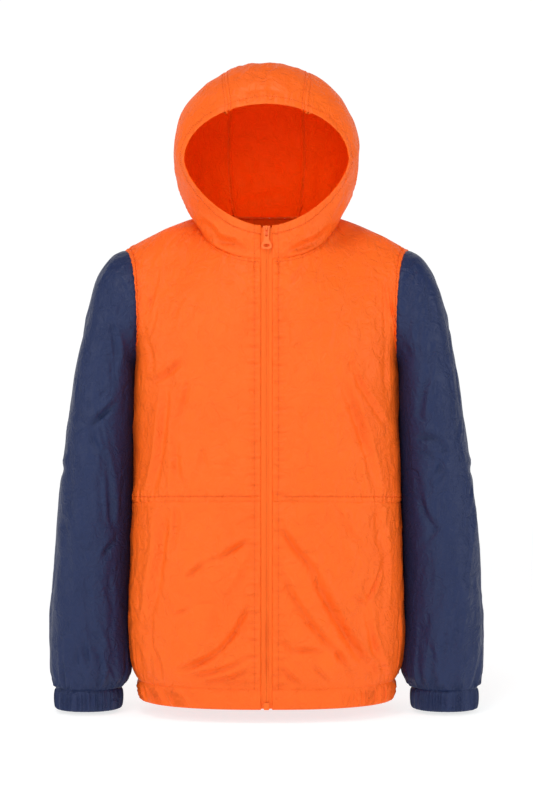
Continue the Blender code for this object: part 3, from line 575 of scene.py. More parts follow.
# Strewn creases: number, greatest depth, width range, length range
strewnForm = {
    "body": ((60, 0.0012, (0.003, 0.008), (0.02, 0.07)), (170, 0.00065, (0.0018, 0.0040), (0.010, 0.035))),
    "sleeve": ((100, 0.0013, (0.003, 0.008), (0.02, 0.07)), (320, 0.0008, (0.0018, 0.0045), (0.010, 0.045))),
    "hood": ((60, 0.0012, (0.003, 0.008), (0.02, 0.07)), (180, 0.00065, (0.0016, 0.0040), (0.008, 0.03))),
}


# Rows of a body panel: heights below the armpit, then shares of the arcs above it
def bodyGrid(sides, low, high, side, mirror):
    s = sides[:, None]
    parts = []
    if len(low):
        parts.append(ringPoint(s, low[None, :], side))
    if len(high):
        parts.append(yokePoint(s, high[None, :], side))
    grid = np.concatenate(parts, axis=1)
    grid[..., 0] *= mirror
    return grid


# Two sizes of strewn creases over a panel
def scatter(kind, fromU, fromV, seeds, lean):
    size = (float(fromU.max()), float(fromV.max()))
    return sum(strewn(fromU, fromV, seed, count, size, lean, depth, width, length)
               for seed, (count, depth, width, length) in zip(seeds, strewnForm[kind]))


# Height shared by every body panel: listed folds, slow sway, strewn creases
def bodyHeight(grid, spec, seed, fromU, fromV):
    height = folds(grid[..., 0], grid[..., 2], spec["folds"]) * frontSpec["foldShare"]
    height += sway(grid, seed, 0.11, 0.0012) + sway(grid, seed + 50, 0.045, 0.00035)
    return height + scatter("body", fromU, fromV, (seed + 100, seed + 200), math.pi / 2)


# Height of a front panel without its seams: folds calmer near the zip, and the zip's stitched row
def frontHeight(grid, spec, seed, stitchSeed, distances):
    fromU, toU, fromV, toV = distances
    height = bodyHeight(grid, spec, seed, fromU, fromV)
    share = frontSpec["calmAtZip"]
    height *= np.clip(fromU / frontSpec["calmWidth"], 0, 1) * share + 1 - share
    height *= settle(toU) * settle(fromV) * settle(toV)
    row = stitched(fromU, fromV, frontSpec["zipStitch"], stitchSeed, *rowForm["zip"])
    return height + row * settle(fromV, 0.003) * settle(toV, 0.003)


# The fronts' edge beside the zip: a low welt, rounded off at the fold
def zipWelt(fromU):
    return 0.0008 * bump(fromU - 0.0040, 0.0032) - 0.0010 * bump(fromU, 0.0006)


# The cloth is turned back beside the zip, so it is thicker there
def turnedBack(fromU):
    more = frontSpec["edgeThickness"] - cloth["thickness"]
    return cloth["thickness"] + more * bump(np.clip(fromU - frontSpec["foldBack"], 0, 1), 0.001)


def upperFront(mirror, spec, word, side):
    near = frontSpec["waistLines"]
    low = levels(cut["waistZ"], cut["armpitZ"], frontSpec["bodyRows"], near)
    high = lines(frontSpec["yokeRows"], meshLines["yokeHeight"])[1:]
    grid = bodyGrid(side, low, high, -1, mirror)
    distances = fromU, toU, fromV, toV = edgeDistances(grid)
    seed = spec["seed"]
    height = frontHeight(grid, spec, seed, seed + 1, distances)
    height += stitched(fromV, fromU, frontSpec["waistStitch"], seed + 2, *rowForm["waist"])
    armholeRow = stitched(toU, fromV, frontSpec["armholeStitch"], seed + 3, *rowForm["armhole"])
    height += np.where(grid[..., 2] > cut["armpitZ"], armholeRow, 0)
    neckRow = stitched(toV, fromU, frontSpec["neckStitch"], seed + 4, *rowForm["neck"])
    height += np.where(side[:, None] < cut["neckShare"], neckRow, 0)
    atSides = np.clip(side[:, None] * 2 - 0.7, 0, 1)
    height += gathers(fromU, fromV, seed + 5, *gatherForm["waist"]) * settle(fromV, 0.004) * atSides
    height += seamed(fromV, toU, toV) + zipWelt(fromU)
    upper = shell("front_upper_%s_cloth" % word, grid, height, turnedBack(fromU), mirror < 0,
                  tucks=(False, True, True, True))
    keep(upper, ["front_upper_" + word])


def lowerFront(mirror, spec, word, side):
    near = meshLines["edge"]
    low = levels(cut["bandTopZ"], cut["waistZ"], frontSpec["lowerRows"], near, near)
    grid = bodyGrid(side, low, (), -1, mirror)
    distances = fromU, toU, fromV, toV = edgeDistances(grid)
    seed = spec["seed"]
    height = frontHeight(grid, spec, seed + 20, seed + 6, distances)
    atSides = np.clip(side[:, None] * 1.9 - 0.75, 0, 1)
    overHem = gathers(fromU, fromV, seed + 7, *gatherForm["hem"]) * (0.10 + 0.90 * atSides)
    height += overHem * settle(fromV, 0.005)
    height += gathers(fromU, toV, seed + 8, *gatherForm["underWaist"]) * atSides * settle(toV, 0.004)
    height += seamed(fromV, toU, toV) + zipWelt(fromU)
    lower = shell("front_lower_%s_cloth" % word, grid, height, turnedBack(fromU), mirror < 0,
                  tucks=(False, True, True, True))
    keep(lower, ["front_lower_" + word])


def frontPanels(mirror, spec):
    word = "right" if mirror > 0 else "left"
    side = lines(frontSpec["columns"], meshLines["frontWidth"], rows=(frontSpec["zipStitch"],))
    upperFront(mirror, spec, word, side)
    lowerFront(mirror, spec, word, side)


# The back is one grid from the right side seam over the centre to the left one
def backCloth():
    half = lines(backPanel["columns"], meshLines["frontWidth"])
    low = levels(cut["bandTopZ"], cut["armpitZ"], backPanel["bodyRows"], meshLines["edge"])
    high = lines(backPanel["yokeRows"], meshLines["yokeHeight"])[1:]
    right = bodyGrid(half, low, high, 1, 1)
    left = bodyGrid(half, low, high, 1, -1)
    grid = np.concatenate([right[::-1], left[1:]])
    side = np.concatenate([half[::-1], half[1:]])[:, None]
    fromU, toU, fromV, toV = edgeDistances(grid)
    seed = backPanel["seed"]
    height = bodyHeight(grid, backPanel, seed, fromU, fromV)
    edge = np.minimum(fromU, toU)
    height *= settle(edge) * settle(fromV) * settle(toV)
    height += gathers(fromU, fromV, seed + 7, *gatherForm["backHem"]) * settle(fromV, 0.005)
    armholeRow = stitched(edge, fromV, frontSpec["armholeStitch"], 131, *rowForm["calm"])
    height += np.where(grid[..., 2] > cut["armpitZ"], armholeRow, 0)
    neckRow = stitched(toV, fromU, frontSpec["neckStitch"], 132, *rowForm["plain"])
    height += np.where(side < cut["neckShare"], neckRow, 0)
    height += seamed(fromV, edge, toV)
    piece = shell("back_cloth", grid, height, cloth["thickness"], False, tucks=(True,) * 4)
    keep(piece, ["back"])


band = {"columns": 136, "rows": 15, "ribPitch": 0.0185, "ribDepth": 0.0027, "thickness": 0.0024,
        "roundness": 0.4, "ribShare": 1.3, "swell": 0.0016, "sunk": 0.0006, "edgeRound": 0.0009}


# Hem band: one strip from the right front edge round the back to the left front edge
def hemBand():
    half = lines(band["columns"], meshLines["frontWidth"])
    z = levels(cut["hemZ"], cut["bandTopZ"], band["rows"], meshLines["edge"][:2], meshLines["edge"])
    strips = [bodyGrid(half, z, (), side, mirror) for side, mirror in ((-1, 1), (1, 1), (1, -1), (-1, -1))]
    grid = np.concatenate([strips[0], strips[1][::-1][1:], strips[2][1:], strips[3][::-1][1:]])
    share = np.concatenate([half, 1 + half[1:], 1 + half[::-1][1:], half[::-1][1:]])[:, None]
    fromU, toU, fromV, toV = edgeDistances(grid)
    gathered = np.clip((share - 0.24) * 4, 0.10, 1)   # flat beside the zip, full from the sides on
    ribs = gathers(fromU, np.zeros_like(fromU), 21, band["ribPitch"], band["ribDepth"], 0.05)
    profile = np.clip(np.sin(math.pi * fromV / fromV.max()), 0, 1) ** band["roundness"]
    height = ribs * gathered * profile * band["ribShare"] + band["swell"] * profile - band["sunk"]
    height += strewn(fromU, fromV * 3, 22, 90, (float(fromU.max()), 0.08), 1.5, depth=0.0004)
    height *= settle(toV, 0.004)
    height += seamed(toV) - 0.0010 * bump(fromV, band["edgeRound"])
    height -= 0.0008 * bump(np.minimum(fromU, toU), 0.0008)
    piece = shell("hem_band_cloth", grid, height, band["thickness"], False,
                  tucks=(False, False, False, True))
    keep(piece, ["hem_band"])


sleeveRight = {
    "folds": (
        (192, -95, 213, -76, 2, 3, 2), (212, -125, 225, -95, -3, 3.6, 2),
        (224, -120, 230, -155, 3, 4, 2), (208, -180, 220, -140, 3, 4.5, 2.2),
        (224, -225, 214, -290, -4, 5.2, 3.4), (228, -175, 224, -225, 2, 4.5, 2),
        (208, -315, 238, -317, 4, 4.6, 6), (236, -315, 247, -342, 4, 4.2, 4.4),
        (210, -332, 235, -342, 2, 3.4, 2.6), (244, -346, 226, -368, 3, 4, 4),
        (250, -355, 233, -380, 3, 3.6, 2.4), (216, -402, 235, -440, -3, 4.8, 4.4),
        (235, -440, 222, -454, 1, 3.6, 3.4), (212, -380, 216, -430, 2, 4, 2),
        (212, -470, 220, -456, 1, 3, 1.6), (262, -510, 250, -570, 3, 5.2, 2.6),
        (268, -545, 256, -610, 2, 4.8, 3), (230, -545, 218, -600, -3, 6, 1.8),
        (248, -580, 242, -620, 2, 4, 2.2), (222, -598, 234, -625, 2, 3.6, 2.4),
        (235, -250, 245, -215, 3, 5, 1.6), (270, -350, 282, -460, 3, 7, 2),
        (290, -470, 286, -600, 3, 7, 2.2),
    ),
    "backFolds": (
        (225, -110, 250, -180, 6, 8, 2.4), (212, -200, 258, -280, -6, 8, 2.6),
        (222, -330, 275, -365, 6, 7, 3.4), (225, -395, 278, -380, -6, 7, 3.2),
        (235, -440, 262, -560, 6, 8, 2.4), (280, -470, 262, -620, -6, 8, 2.2),
    ),
    "seed": 31,
}
sleeveLeft = {
    "folds": (
        (-208, -90, -196, -110, 2, 3, 2.2), (-226, -100, -218, -135, 3, 4, 2),
        (-220, -130, -210, -145, 1, 3.2, 1.6), (-216, -150, -210, -220, 4, 4.5, 3.6),
        (-222, -180, -213, -240, 3, 3.8, 2), (-243, -296, -208, -264, 1, 3.8, 6.6),
        (-243, -300, -224, -340, -4, 4.5, 5.4), (-243, -296, -264, -284, 2, 3.6, 2),
        (-233, -258, -216, -244, 2, 3.4, 2), (-224, -340, -218, -430, 3, 4.8, 3.6),
        (-230, -350, -226, -430, -2, 4, 2), (-260, -468, -228, -470, 2, 3, 2.6),
        (-228, -478, -210, -454, 1, 3.4, 5), (-222, -490, -220, -550, 3, 5.2, 2.6),
        (-214, -520, -218, -590, 2, 4.6, 2.4), (-256, -590, -248, -630, 2, 3.6, 3),
        (-242, -582, -228, -596, 2, 3.6, 2.6), (-238, -600, -230, -630, 2, 3.6, 3),
        (-264, -600, -266, -635, 2, 3.6, 2.4), (-284, -430, -278, -580, 4, 7, 2.2),
        (-270, -330, -272, -440, -3, 6.5, 1.8), (-248, -500, -244, -570, -2, 6, 1.4),
    ),
    "backFolds": (
        (-225, -105, -246, -190, -6, 8, 2.4), (-212, -215, -260, -270, 6, 8, 2.6),
        (-220, -340, -272, -360, -6, 7, 3.4), (-228, -400, -276, -385, 6, 7, 3),
        (-238, -450, -258, -580, -6, 8, 2.4), (-284, -470, -268, -610, 6, 8, 2.2),
    ),
    "seed": 32,
}
sleeveSpec = {
    "around": 168, "rows": 148, "cuffAround": 270, "cuffRows": 18,
    "girth": 0.30, "ribPitch": 0.0120, "ribDepth": 0.0024, "puffShare": 2.4, "puffReach": 0.022,
    "capGirth": 0.40, "capRibs": 30, "capDepth": 0.0009, "capReach": 0.012,
    "calmSeam": 0.02, "calmInner": 0.8, "innerHalf": 0.045,
    "cuffRoundness": 0.45, "cuffSwell": 0.0014, "cuffSunk": 0.0006,
    "sideFolds": (   # on the outer side, from y, z to y, z, the same on both sleeves
        (-30, -140, 20, -200, 6, 7.5, 2.4), (35, -250, -15, -310, -6, 7.5, 2.4),
        (-35, -360, 30, -370, 6, 7.5, 2.4), (20, -450, -5, -550, -6, 7.5, 2.4),
        (-25, -500, -20, -610, 6, 7.5, 2.4),
    ),
}


# Sleeve as a closed tube: listed folds where it faces front, back and outwards
def sleeveTube(mirror, spec, word):
    turn = np.linspace(0, 2 * math.pi, sleeveSpec["around"] + 1)
    rings = sleeveRings(turn)
    rings[:, -1] = rings[:, 0]
    steps = len(rings) - 1
    at = lines(sleeveSpec["rows"], meshLines["sleeveLength"]) * steps
    grid = curve(at, np.arange(steps + 1), rings.reshape(steps + 1, -1))
    grid = grid.reshape(len(at), len(turn), 3).transpose(1, 0, 2).copy()
    grid[..., 0] *= mirror
    flip = mirror < 0
    seed = spec["seed"]
    fromU, toU, fromV, toV = edgeDistances(grid)
    normals = gridNormals(grid, flip, True)
    outward = mirror * normals[..., 0]
    height = folds(grid[..., 0], grid[..., 2], spec["folds"]) * np.clip(-normals[..., 1] * 2.2, 0, 1)
    height += folds(grid[..., 0], grid[..., 2], spec["backFolds"]) * np.clip(normals[..., 1] * 2.2, 0, 1)
    height += folds(grid[..., 1], grid[..., 2], sleeveSpec["sideFolds"]) * np.clip(outward * 2 - 0.5, 0, 1)
    height += sway(grid, seed, 0.10, 0.0011) + sway(grid, seed + 1, 0.04, 0.0004)
    small = scatter("sleeve", fromU, fromV, (seed + 2, seed + 6), math.pi / 2)
    calm = sleeveSpec["calmSeam"]
    height += small * np.clip(fromU / calm, 0, 1) * np.clip(toU / calm, 0, 1)
    nearBody = np.clip(-outward, 0, 1) * (np.abs(grid[..., 1]) < sleeveSpec["innerHalf"])
    height *= (1 - sleeveSpec["calmInner"] * nearBody) * settle(fromV) * settle(toV)
    girth = fromU / np.maximum(fromU.max(axis=0, keepdims=True), 1e-9)
    puffs = gathers(girth * sleeveSpec["girth"], toV, seed + 3, ribPitch(),
                    sleeveSpec["ribDepth"] * sleeveSpec["puffShare"], sleeveSpec["puffReach"])
    height += puffs * settle(toV, 0.004)
    cap = sleeveSpec["capGirth"]
    capPuffs = gathers(girth * cap, fromV, seed + 4, cap / sleeveSpec["capRibs"], sleeveSpec["capDepth"],
                       sleeveSpec["capReach"])
    height += capPuffs * settle(fromV, 0.004) + seamed(fromV, toV)
    height[-1] = height[0]
    piece = shell("sleeve_%s_cloth" % word, grid, height, cloth["thickness"], flip, closed=True,
                  tucks=(False, False, True, True))
    keep(piece, ["sleeve_" + word])


# Pitch of the ribs that divides the girth evenly
def ribPitch():
    return sleeveSpec["girth"] / round(sleeveSpec["girth"] / sleeveSpec["ribPitch"])


def cuffTube(mirror, spec, word):
    near = meshLines["edge"][:2]
    z = levels(cuffCut["endZ"], cuffCut["topZ"], sleeveSpec["cuffRows"], near, near)[::-1]
    turn = np.linspace(0, 2 * math.pi, sleeveSpec["cuffAround"] + 1)
    grid = np.stack([cuffRing(level, turn, 0.0) for level in z], axis=1)
    grid[-1] = grid[0]
    grid[..., 0] *= mirror
    fromU, _, fromV, toV = edgeDistances(grid)
    girth = fromU / fromU.max(axis=0, keepdims=True)
    profile = np.clip(np.sin(math.pi * fromV / fromV.max()), 0, 1) ** sleeveSpec["cuffRoundness"]
    ribs = gathers(girth * sleeveSpec["girth"], np.zeros_like(girth), spec["seed"] + 3, ribPitch(),
                   sleeveSpec["ribDepth"], 0.05)
    height = ribs * (0.35 + 0.65 * profile) + sleeveSpec["cuffSwell"] * profile - sleeveSpec["cuffSunk"]
    height = height * settle(fromV, 0.003) + seamed(fromV) - 0.0010 * bump(toV, band["edgeRound"])
    height[-1] = height[0]
    piece = shell("cuff_%s_cloth" % word, grid, height, band["thickness"], mirror < 0,
                  closed=True, tucks=(False, False, True, False))
    keep(piece, ["cuff_" + word])


hoodSpec = {
    "rimStitch": 0.0125, "rimThickness": 0.0028, "rimStep": 0.0005, "seamStitch": 0.0045,
    "sideRows": 120, "sideWidth": 0.31, "panelRows": 32, "panelWidth": 0.06, "ribLines": 104,
    "calmRim": 0.006, "calmWidth": 0.02, "calmLeast": 0.12, "lean": math.pi / 2 + 0.3,
    "seamLayers": 0.0006, "seamWidth": 0.006,
}
hoodFolds = (   # in millimetres too, seen from the front, outside the opening
    (30, -56, 58, -44, -2, 5.6, 4.2), (52, -48, 90, -20, -4, 6, 4.2),
    (-74, -37, -30, -57, 3, 5.8, 4.2), (-92, -12, -64, -42, 3, 6, 4),
    (50, -62, 80, -46, 1, 2.6, 1.8), (-72, -54, -48, -64, 1, 2.6, 1.8),
    (28, -42, 20, -58, 1, 2.4, 1.4), (-30, -42, -20, -60, 1, 2.4, 1.4),
    (66, -16, 92, 12, 2, 3.4, 1.8), (-98, 16, -70, -12, 2, 3.4, 2),
    (-90, 0, -62, -20, 2, 2.8, 1.4), (110, 20, 96, -10, -2, 4, 2),
    (119, 75, 112, 20, 4, 5.5, 1.2), (-120, 85, -110, 25, -4, 5.5, 1.2),
    (-30, 164, 20, 162, 3, 4.5, 1.2), (55, 160, 80, 140, 3, 3.6, 1.2),
    (-82, 142, -56, 160, 3, 3.6, 1.2),
)
hoodBackFolds = (   # seen from the front through the opening, on the back of the hood
    (-40, 25, 26, 42, 3, 7.5, 5), (8, 95, 14, 68, 2, 7, 3),
    (-45, 90, -30, 50, 3, 8, 2.2), (-90, 80, -80, 20, 4, 9, 3),
    (85, 90, 80, 20, -4, 9, 3), (-30, -6, 30, 2, 3, 6, 3),
)
hoodSideFolds = (   # seen from the side, in y and z
    (60, 20, 10, 50, 6, 8, 2.6), (85, 45, 30, 75, 6, 8.5, 2.2),
    (-20, 20, -45, 75, -5, 7, 2), (10, 110, 70, 140, 8, 9, 1.6),
)


def hoodGrid(mirror):
    w = lines(hoodSpec["ribLines"], meshLines["hoodDepth"], rows=(hoodSpec["rimStitch"],),
              edge=meshLines["hoodEdge"])
    narrowed = np.clip(np.sin(math.pi * w), 0, 1) ** hoodCut["panelPower"]
    seam = hoodCut["panelNarrow"] * narrowed + hoodCut["panelStart"]
    if mirror:
        along = lines(hoodSpec["sideRows"], hoodSpec["sideWidth"])[:, None]
        t = seam * along
    else:
        along = lines(hoodSpec["panelRows"], hoodSpec["panelWidth"], rows=(hoodSpec["seamStitch"],))[:, None]
        t = seam + (1 - seam) * along
    grid = hoodPoint(t, np.broadcast_to(w, t.shape))
    if mirror:
        grid[..., 0] *= mirror
        return grid
    other = grid.copy()
    other[..., 0] *= -1
    return np.concatenate([grid, other[::-1][1:]])


# A side of the hood (mirror 1 or -1), or its centre panel from seam to seam (mirror 0)
def hoodPiece(name, node, mirror, seed):
    grid = hoodGrid(mirror)
    flip = mirror >= 0
    fromU, toU, fromV, toV = edgeDistances(grid)
    seams = toU if mirror else np.minimum(fromU, toU)
    normals = gridNormals(grid, flip)
    ahead = np.clip(-normals[..., 1] * 2, 0, 1)
    beside = np.clip(np.abs(normals[..., 0]) * 2 - 0.6, 0, 1) * (grid[..., 1] > -0.07)
    height = folds(grid[..., 0], grid[..., 2], hoodFolds) * ahead
    height += folds(grid[..., 0], grid[..., 2], hoodBackFolds) * (grid[..., 1] > 0.02)
    height += folds(grid[..., 1], grid[..., 2], hoodSideFolds) * beside
    height += sway(grid, seed, 0.09, 0.0011) + sway(grid, seed + 1, 0.035, 0.0004)
    height += scatter("hood", fromU, fromV, (seed + 2, seed + 6), hoodSpec["lean"])
    fromRim = (fromV - hoodSpec["calmRim"]) / hoodSpec["calmWidth"]
    height *= np.clip(fromRim, hoodSpec["calmLeast"], 1) * settle(toV, 0.005)
    height += stitched(fromV, fromU, hoodSpec["rimStitch"], seed + 3, *rowForm["hoodRim"])
    height += hoodSpec["rimStep"] * (fromV < hoodSpec["rimStitch"]) - 0.0012 * bump(fromV, 0.0009)
    height *= settle(seams)
    if mirror:
        height += stitched(fromU, fromV, frontSpec["zipStitch"], seed + 5, *rowForm["calm"])
        height -= 0.0008 * bump(fromU, 0.0006)
    height += seamed(seams, toV)
    height += stitched(seams, fromV, hoodSpec["seamStitch"], seed + 4, *rowForm["hoodSeam"])
    inRim = np.clip((hoodSpec["rimStitch"] - fromV) / 0.001 + 0.5, 0, 1)
    thickness = cloth["thickness"] + (hoodSpec["rimThickness"] - cloth["thickness"]) * inRim
    if mirror:
        thickness = np.maximum(thickness, turnedBack(fromU))
    thickness += hoodSpec["seamLayers"] * np.clip((hoodSpec["seamWidth"] - seams) / 0.001, 0, 1)
    piece = shell(name, grid, height, thickness, flip, tucks=(mirror == 0, True, False, True))
    keep(piece, [node])


print("cloth")
for mirror, spec in ((1, frontRight), (-1, frontLeft)):
    frontPanels(mirror, spec)
backCloth()
hemBand()
for mirror, spec, word in ((1, sleeveRight, "right"), (-1, sleeveLeft, "left")):
    sleeveTube(mirror, spec, word)
    cuffTube(mirror, spec, word)
hoodPiece("hood_right_cloth", "hood_right", 1, 41)
hoodPiece("hood_left_cloth", "hood_left", -1, 42)
hoodPiece("hood_center_cloth", "hood_center", 0, 43)


# Points on a cloth's outer face at a distance from one of its edges: edge is 0 or 1 for the first
# or last column, 2 or 3 for the first or last row; start and end are shares of the row
def rowAt(name, edge, distance, start=0.0, end=1.0):
    outer, normals = faces[name]
    if edge < 2:
        outer, normals = outer.transpose(1, 0, 2), normals.transpose(1, 0, 2)
    if edge % 2:
        outer, normals = outer[:, ::-1], normals[:, ::-1]
    steps = np.linalg.norm(np.diff(outer, axis=1), axis=-1)
    run = np.concatenate([np.zeros((len(outer), 1)), np.cumsum(steps, axis=1)], axis=1)
    k = np.clip((run < distance).sum(axis=1) - 1, 0, run.shape[1] - 2)
    line = np.arange(len(outer))
    share = ((distance - run[line, k]) / (run[line, k + 1] - run[line, k]))[:, None]
    path = outer[line, k] * (1 - share) + outer[line, k + 1] * share
    low, high = int(start * (len(path) - 1)), int(end * (len(path) - 1)) + 1
    return path[low:high], normals[line, k][low:high]


# Small rounded rods: long axis, side axis, both with their half lengths
def rods(name, centres, longAxis, sideAxis, upAxis, slotName, sides=5):
    turn = np.arange(sides) / sides * 2 * math.pi
    ring = np.stack([np.cos(turn), np.sin(turn)], axis=-1)
    rings = [(end, a, b) for end in (-0.6, 0.6) for a, b in ring]
    shape = np.array([(-1.0, 0.0, 0.0)] + rings + [(1.0, 0.0, 0.0)])
    axes = np.stack([longAxis, sideAxis, upAxis], axis=1)
    points = centres[:, None] + np.einsum("vk,nkc->nvc", shape, axes)
    k = np.arange(sides)
    after = (k + 1) % sides
    caps = np.concatenate([np.stack([k * 0, 1 + after, 1 + k], axis=-1),
                           np.stack([k * 0 + 2 * sides + 1, 1 + sides + k, 1 + sides + after], axis=-1)])
    walls = np.stack([1 + k, 1 + after, 1 + sides + after, 1 + sides + k], axis=-1)
    tris = np.concatenate([caps, walls[:, [0, 1, 2]], walls[:, [0, 2, 3]]])
    start = (np.arange(len(centres)) * len(shape))[:, None, None]
    piece = meshObject(name, points.reshape(-1, 3), (tris[None] + start).reshape(-1, 3))
    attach(piece, "jacket")
    return piece


stitch = {"pitch": 0.0031, "length": 0.0023, "width": 0.00042, "height": 0.00034, "proud": 0.4}


def valueAt(values, run, where):
    return np.stack([np.interp(where, run, values[:, c]) for c in range(3)], axis=-1)


# Stitches at an even pitch along paths on the cloth
def stitches(name, paths, slotName):
    centres, longs, wides, ups = [], [], [], []
    for path, normals in paths:
        run = np.concatenate([[0], np.cumsum(np.linalg.norm(np.diff(path, axis=0), axis=-1))])
        at = np.arange(stitch["pitch"] / 2, run[-1], stitch["pitch"])
        half = stitch["length"] / 2
        way = valueAt(path, run, at + half) - valueAt(path, run, at - half)
        way /= np.maximum(np.linalg.norm(way, axis=-1), 1e-9)[:, None]
        up = valueAt(normals, run, at)
        up /= np.linalg.norm(up, axis=-1)[:, None]
        wide = np.cross(way, up)
        centres.append(valueAt(path, run, at) + up * stitch["height"] * stitch["proud"])
        longs.append(way * stitch["length"] / 2)
        wides.append(wide * stitch["width"] / 2)
        ups.append(up * stitch["height"])
    parts = [np.concatenate(part) for part in (centres, longs, wides, ups)]
    return rods(name, *parts, slotName)


def allStitches():
    zipRow, armhole, neck = frontSpec["zipStitch"], frontSpec["armholeStitch"], frontSpec["neckStitch"]
    rim, seam = hoodSpec["rimStitch"], hoodSpec["seamStitch"]
    for word in ("right", "left"):
        upper, lower, hood = [start + word + "_cloth" for start in ("front_upper_", "front_lower_", "hood_")]
        stitches("front_stitches_" + word, [
            rowAt(upper, 0, zipRow), rowAt(lower, 0, zipRow), rowAt(upper, 2, frontSpec["waistStitch"], 0.06),
            rowAt(upper, 1, armhole, 0.5), rowAt(upper, 3, neck, 0.03, 0.4)], slots["body"])
        stitches("hood_stitches_" + word, [
            rowAt(hood, 2, rim), rowAt(hood, 0, zipRow, 0.0, 0.97), rowAt(hood, 1, seam)], slots["body"])
    middle = "hood_center_cloth"
    stitches("hood_center_stitches", [
        rowAt(middle, 2, rim), rowAt(middle, 0, seam), rowAt(middle, 1, seam)], slots["body"])
    stitches("back_stitches", [
        rowAt("back_cloth", 0, armhole, 0.6), rowAt("back_cloth", 1, armhole, 0.6),
        rowAt("back_cloth", 3, neck, 0.3, 0.7)], slots["body"])


zipSpec = {"pitch": 0.0015, "toothX": 0.0013, "toothHalf": 0.00135, "toothThick": 0.00050,
           "toothRise": 0.00055,
           "front": 0.0009, "low": -0.6695, "high": -0.0355, "samples": 60, "slopeStep": 0.001,
           "coreHalf": 0.0022, "coreFront": 0.0034, "coreThick": 0.0006, "coreLow": -0.6790, "coreSteps": 120}


# Centre line of the fronts: y by height, through the body, the yoke and the hood
def zipLine(z):
    heights = np.linspace(cut["hemZ"], cut["armpitZ"], zipSpec["samples"])
    zero = np.zeros(zipSpec["samples"])
    share = np.linspace(0, 1, zipSpec["samples"])
    line = np.concatenate([ringPoint(zero, heights, -1), yokePoint(zero, share, -1)[1:],
                           hoodPoint(zero, share[::-1])[1:]])
    order = np.argsort(line[:, 2])
    return np.interp(z, line[order, 2], line[order, 1])


def zipTeeth():
    z = np.arange(zipSpec["low"], zipSpec["high"], zipSpec["pitch"])
    parts = []
    for side, offset in ((1, 0.0), (-1, 0.5)):
        at = z + offset * zipSpec["pitch"]
        y = zipLine(at)
        step = zipSpec["slopeStep"]
        slope = (zipLine(at + step) - zipLine(at - step)) / (2 * step)
        along = np.stack([0 * at, slope, 0 * at + 1], axis=-1)
        along /= np.linalg.norm(along, axis=-1)[:, None]
        out = np.cross(along, np.array([1.0, 0, 0])) * -1
        across = np.broadcast_to(np.array([1.0, 0, 0]), along.shape)
        centre = np.stack([0 * at + side * zipSpec["toothX"], y + zipSpec["front"], at], axis=-1)
        parts.append((centre, across * zipSpec["toothHalf"], along * zipSpec["toothThick"],
                      out * zipSpec["toothRise"]))
    joined = [np.concatenate(both) for both in zip(*parts)]
    return rods("zip_teeth", *joined, slots["tape"], sides=6)


# Woven strip that closes the gap behind the teeth
def zipCore():
    z = np.linspace(zipSpec["coreLow"], zipSpec["high"], zipSpec["coreSteps"])
    y = zipLine(z) + zipSpec["coreFront"]
    half, deep = zipSpec["coreHalf"], zipSpec["coreThick"]
    ring = [(-half, 0), (-half, deep), (half, deep), (half, 0)]
    points = np.stack([np.stack([0 * z + a, y + b, z], axis=-1) for a, b in ring], axis=1)
    k = np.arange(len(z) - 1)[:, None] * 4
    side = np.arange(4)
    after = (side + 1) % 4
    walls = np.stack([k + side, k + 4 + side, k + 4 + after, k + after], axis=-1).reshape(-1, 4)
    last = 4 * (len(z) - 1)
    ends = np.array([(0, 1, 2, 3), (last + 3, last + 2, last + 1, last)])
    corners = np.concatenate([walls, ends])
    core = meshObject("zip_core", points.reshape(-1, 3), corners, smooth=False)
    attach(core, "jacket")


print("stitches")
allStitches()
zipTeeth()
zipCore()


# Shader maths: a socket with arithmetic, and helpers for the few other nodes
class Wire:
    def __init__(self, tree, socket):
        self.tree = tree
        self.socket = socket

    def math(self, operation, *others):
        step = self.tree.nodes.new("ShaderNodeMath")
        step.operation = operation
        for place, value in zip(step.inputs, (self,) + others):
            connect(self.tree, place, value)
        return Wire(self.tree, step.outputs[0])

    def __add__(self, other):
        return self.math("ADD", other)

    def __sub__(self, other):
        return self.math("SUBTRACT", other)

    def __mul__(self, other):
        return self.math("MULTIPLY", other)

    __radd__ = __add__
    __rmul__ = __mul__


def connect(tree, place, value):
    if isinstance(value, Wire):
        tree.links.new(value.socket, place)
    else:
        place.default_value = value


# Any other node: type, output, inputs by name
def node(tree, kind, output, **inputs):
    fresh = tree.nodes.new("ShaderNode" + kind)
    for name, value in inputs.items():
        connect(tree, fresh.inputs[name.replace("_", " ")], value)
    return Wire(tree, fresh.outputs[output])


def mixColour(tree, share, low, high):
    fresh = tree.nodes.new("ShaderNodeMix")
    fresh.data_type = "RGBA"
    for place, value in zip((0, 6, 7), (share, low, high)):   # factor, first and second colour
        connect(tree, fresh.inputs[place], value)
    return Wire(tree, fresh.outputs[2])


looks = {
    "orange": {"colour": (0.93, 0.118, 0.006, 1), "light": (0.96, 0.148, 0.010, 1), "roughness": 0.50},
    # Inner faces: the same nylon painted redder and more saturated, painted light for light that shines
    # through the cloth and bounces inside it
    "orangeInsidePaintedLight": {"colour": (0.98, 0.078, 0.001, 1), "light": (0.98, 0.098, 0.001, 1), "roughness": 0.60},
    "navy": {"colour": (0.012, 0.022, 0.074, 1), "light": (0.017, 0.029, 0.090, 1), "roughness": 0.46},
    "tape": {"colour": (0.98, 0.185, 0.026, 1), "roughness": 0.8, "gloss": 0.15},
    "thread": {"colour": (0.62, 0.052, 0.004, 1), "roughness": 0.7, "gloss": 0.2},
    "enamel": {"colour": (0.92, 0.150, 0.012, 1), "roughness": 0.34, "gloss": 0.26},
    "crinkle": {"Strength": 1.0, "Distance": 0.0024},
    "wander": {"Scale": 14.0, "Detail": 3.0},
    "coarse": {"Scale": 55.0, "Detail": 4.0, "Roughness": 0.55, "Distortion": 0.8},
    "fine": {"Scale": 190.0, "Detail": 3.0, "Roughness": 0.6, "Distortion": 0.5},
    # strength of the painted glow on the hood's inner face
    "innerPaintedGlow": 0.075, "outerGloss": 0.24, "innerGloss": 0.06,
}
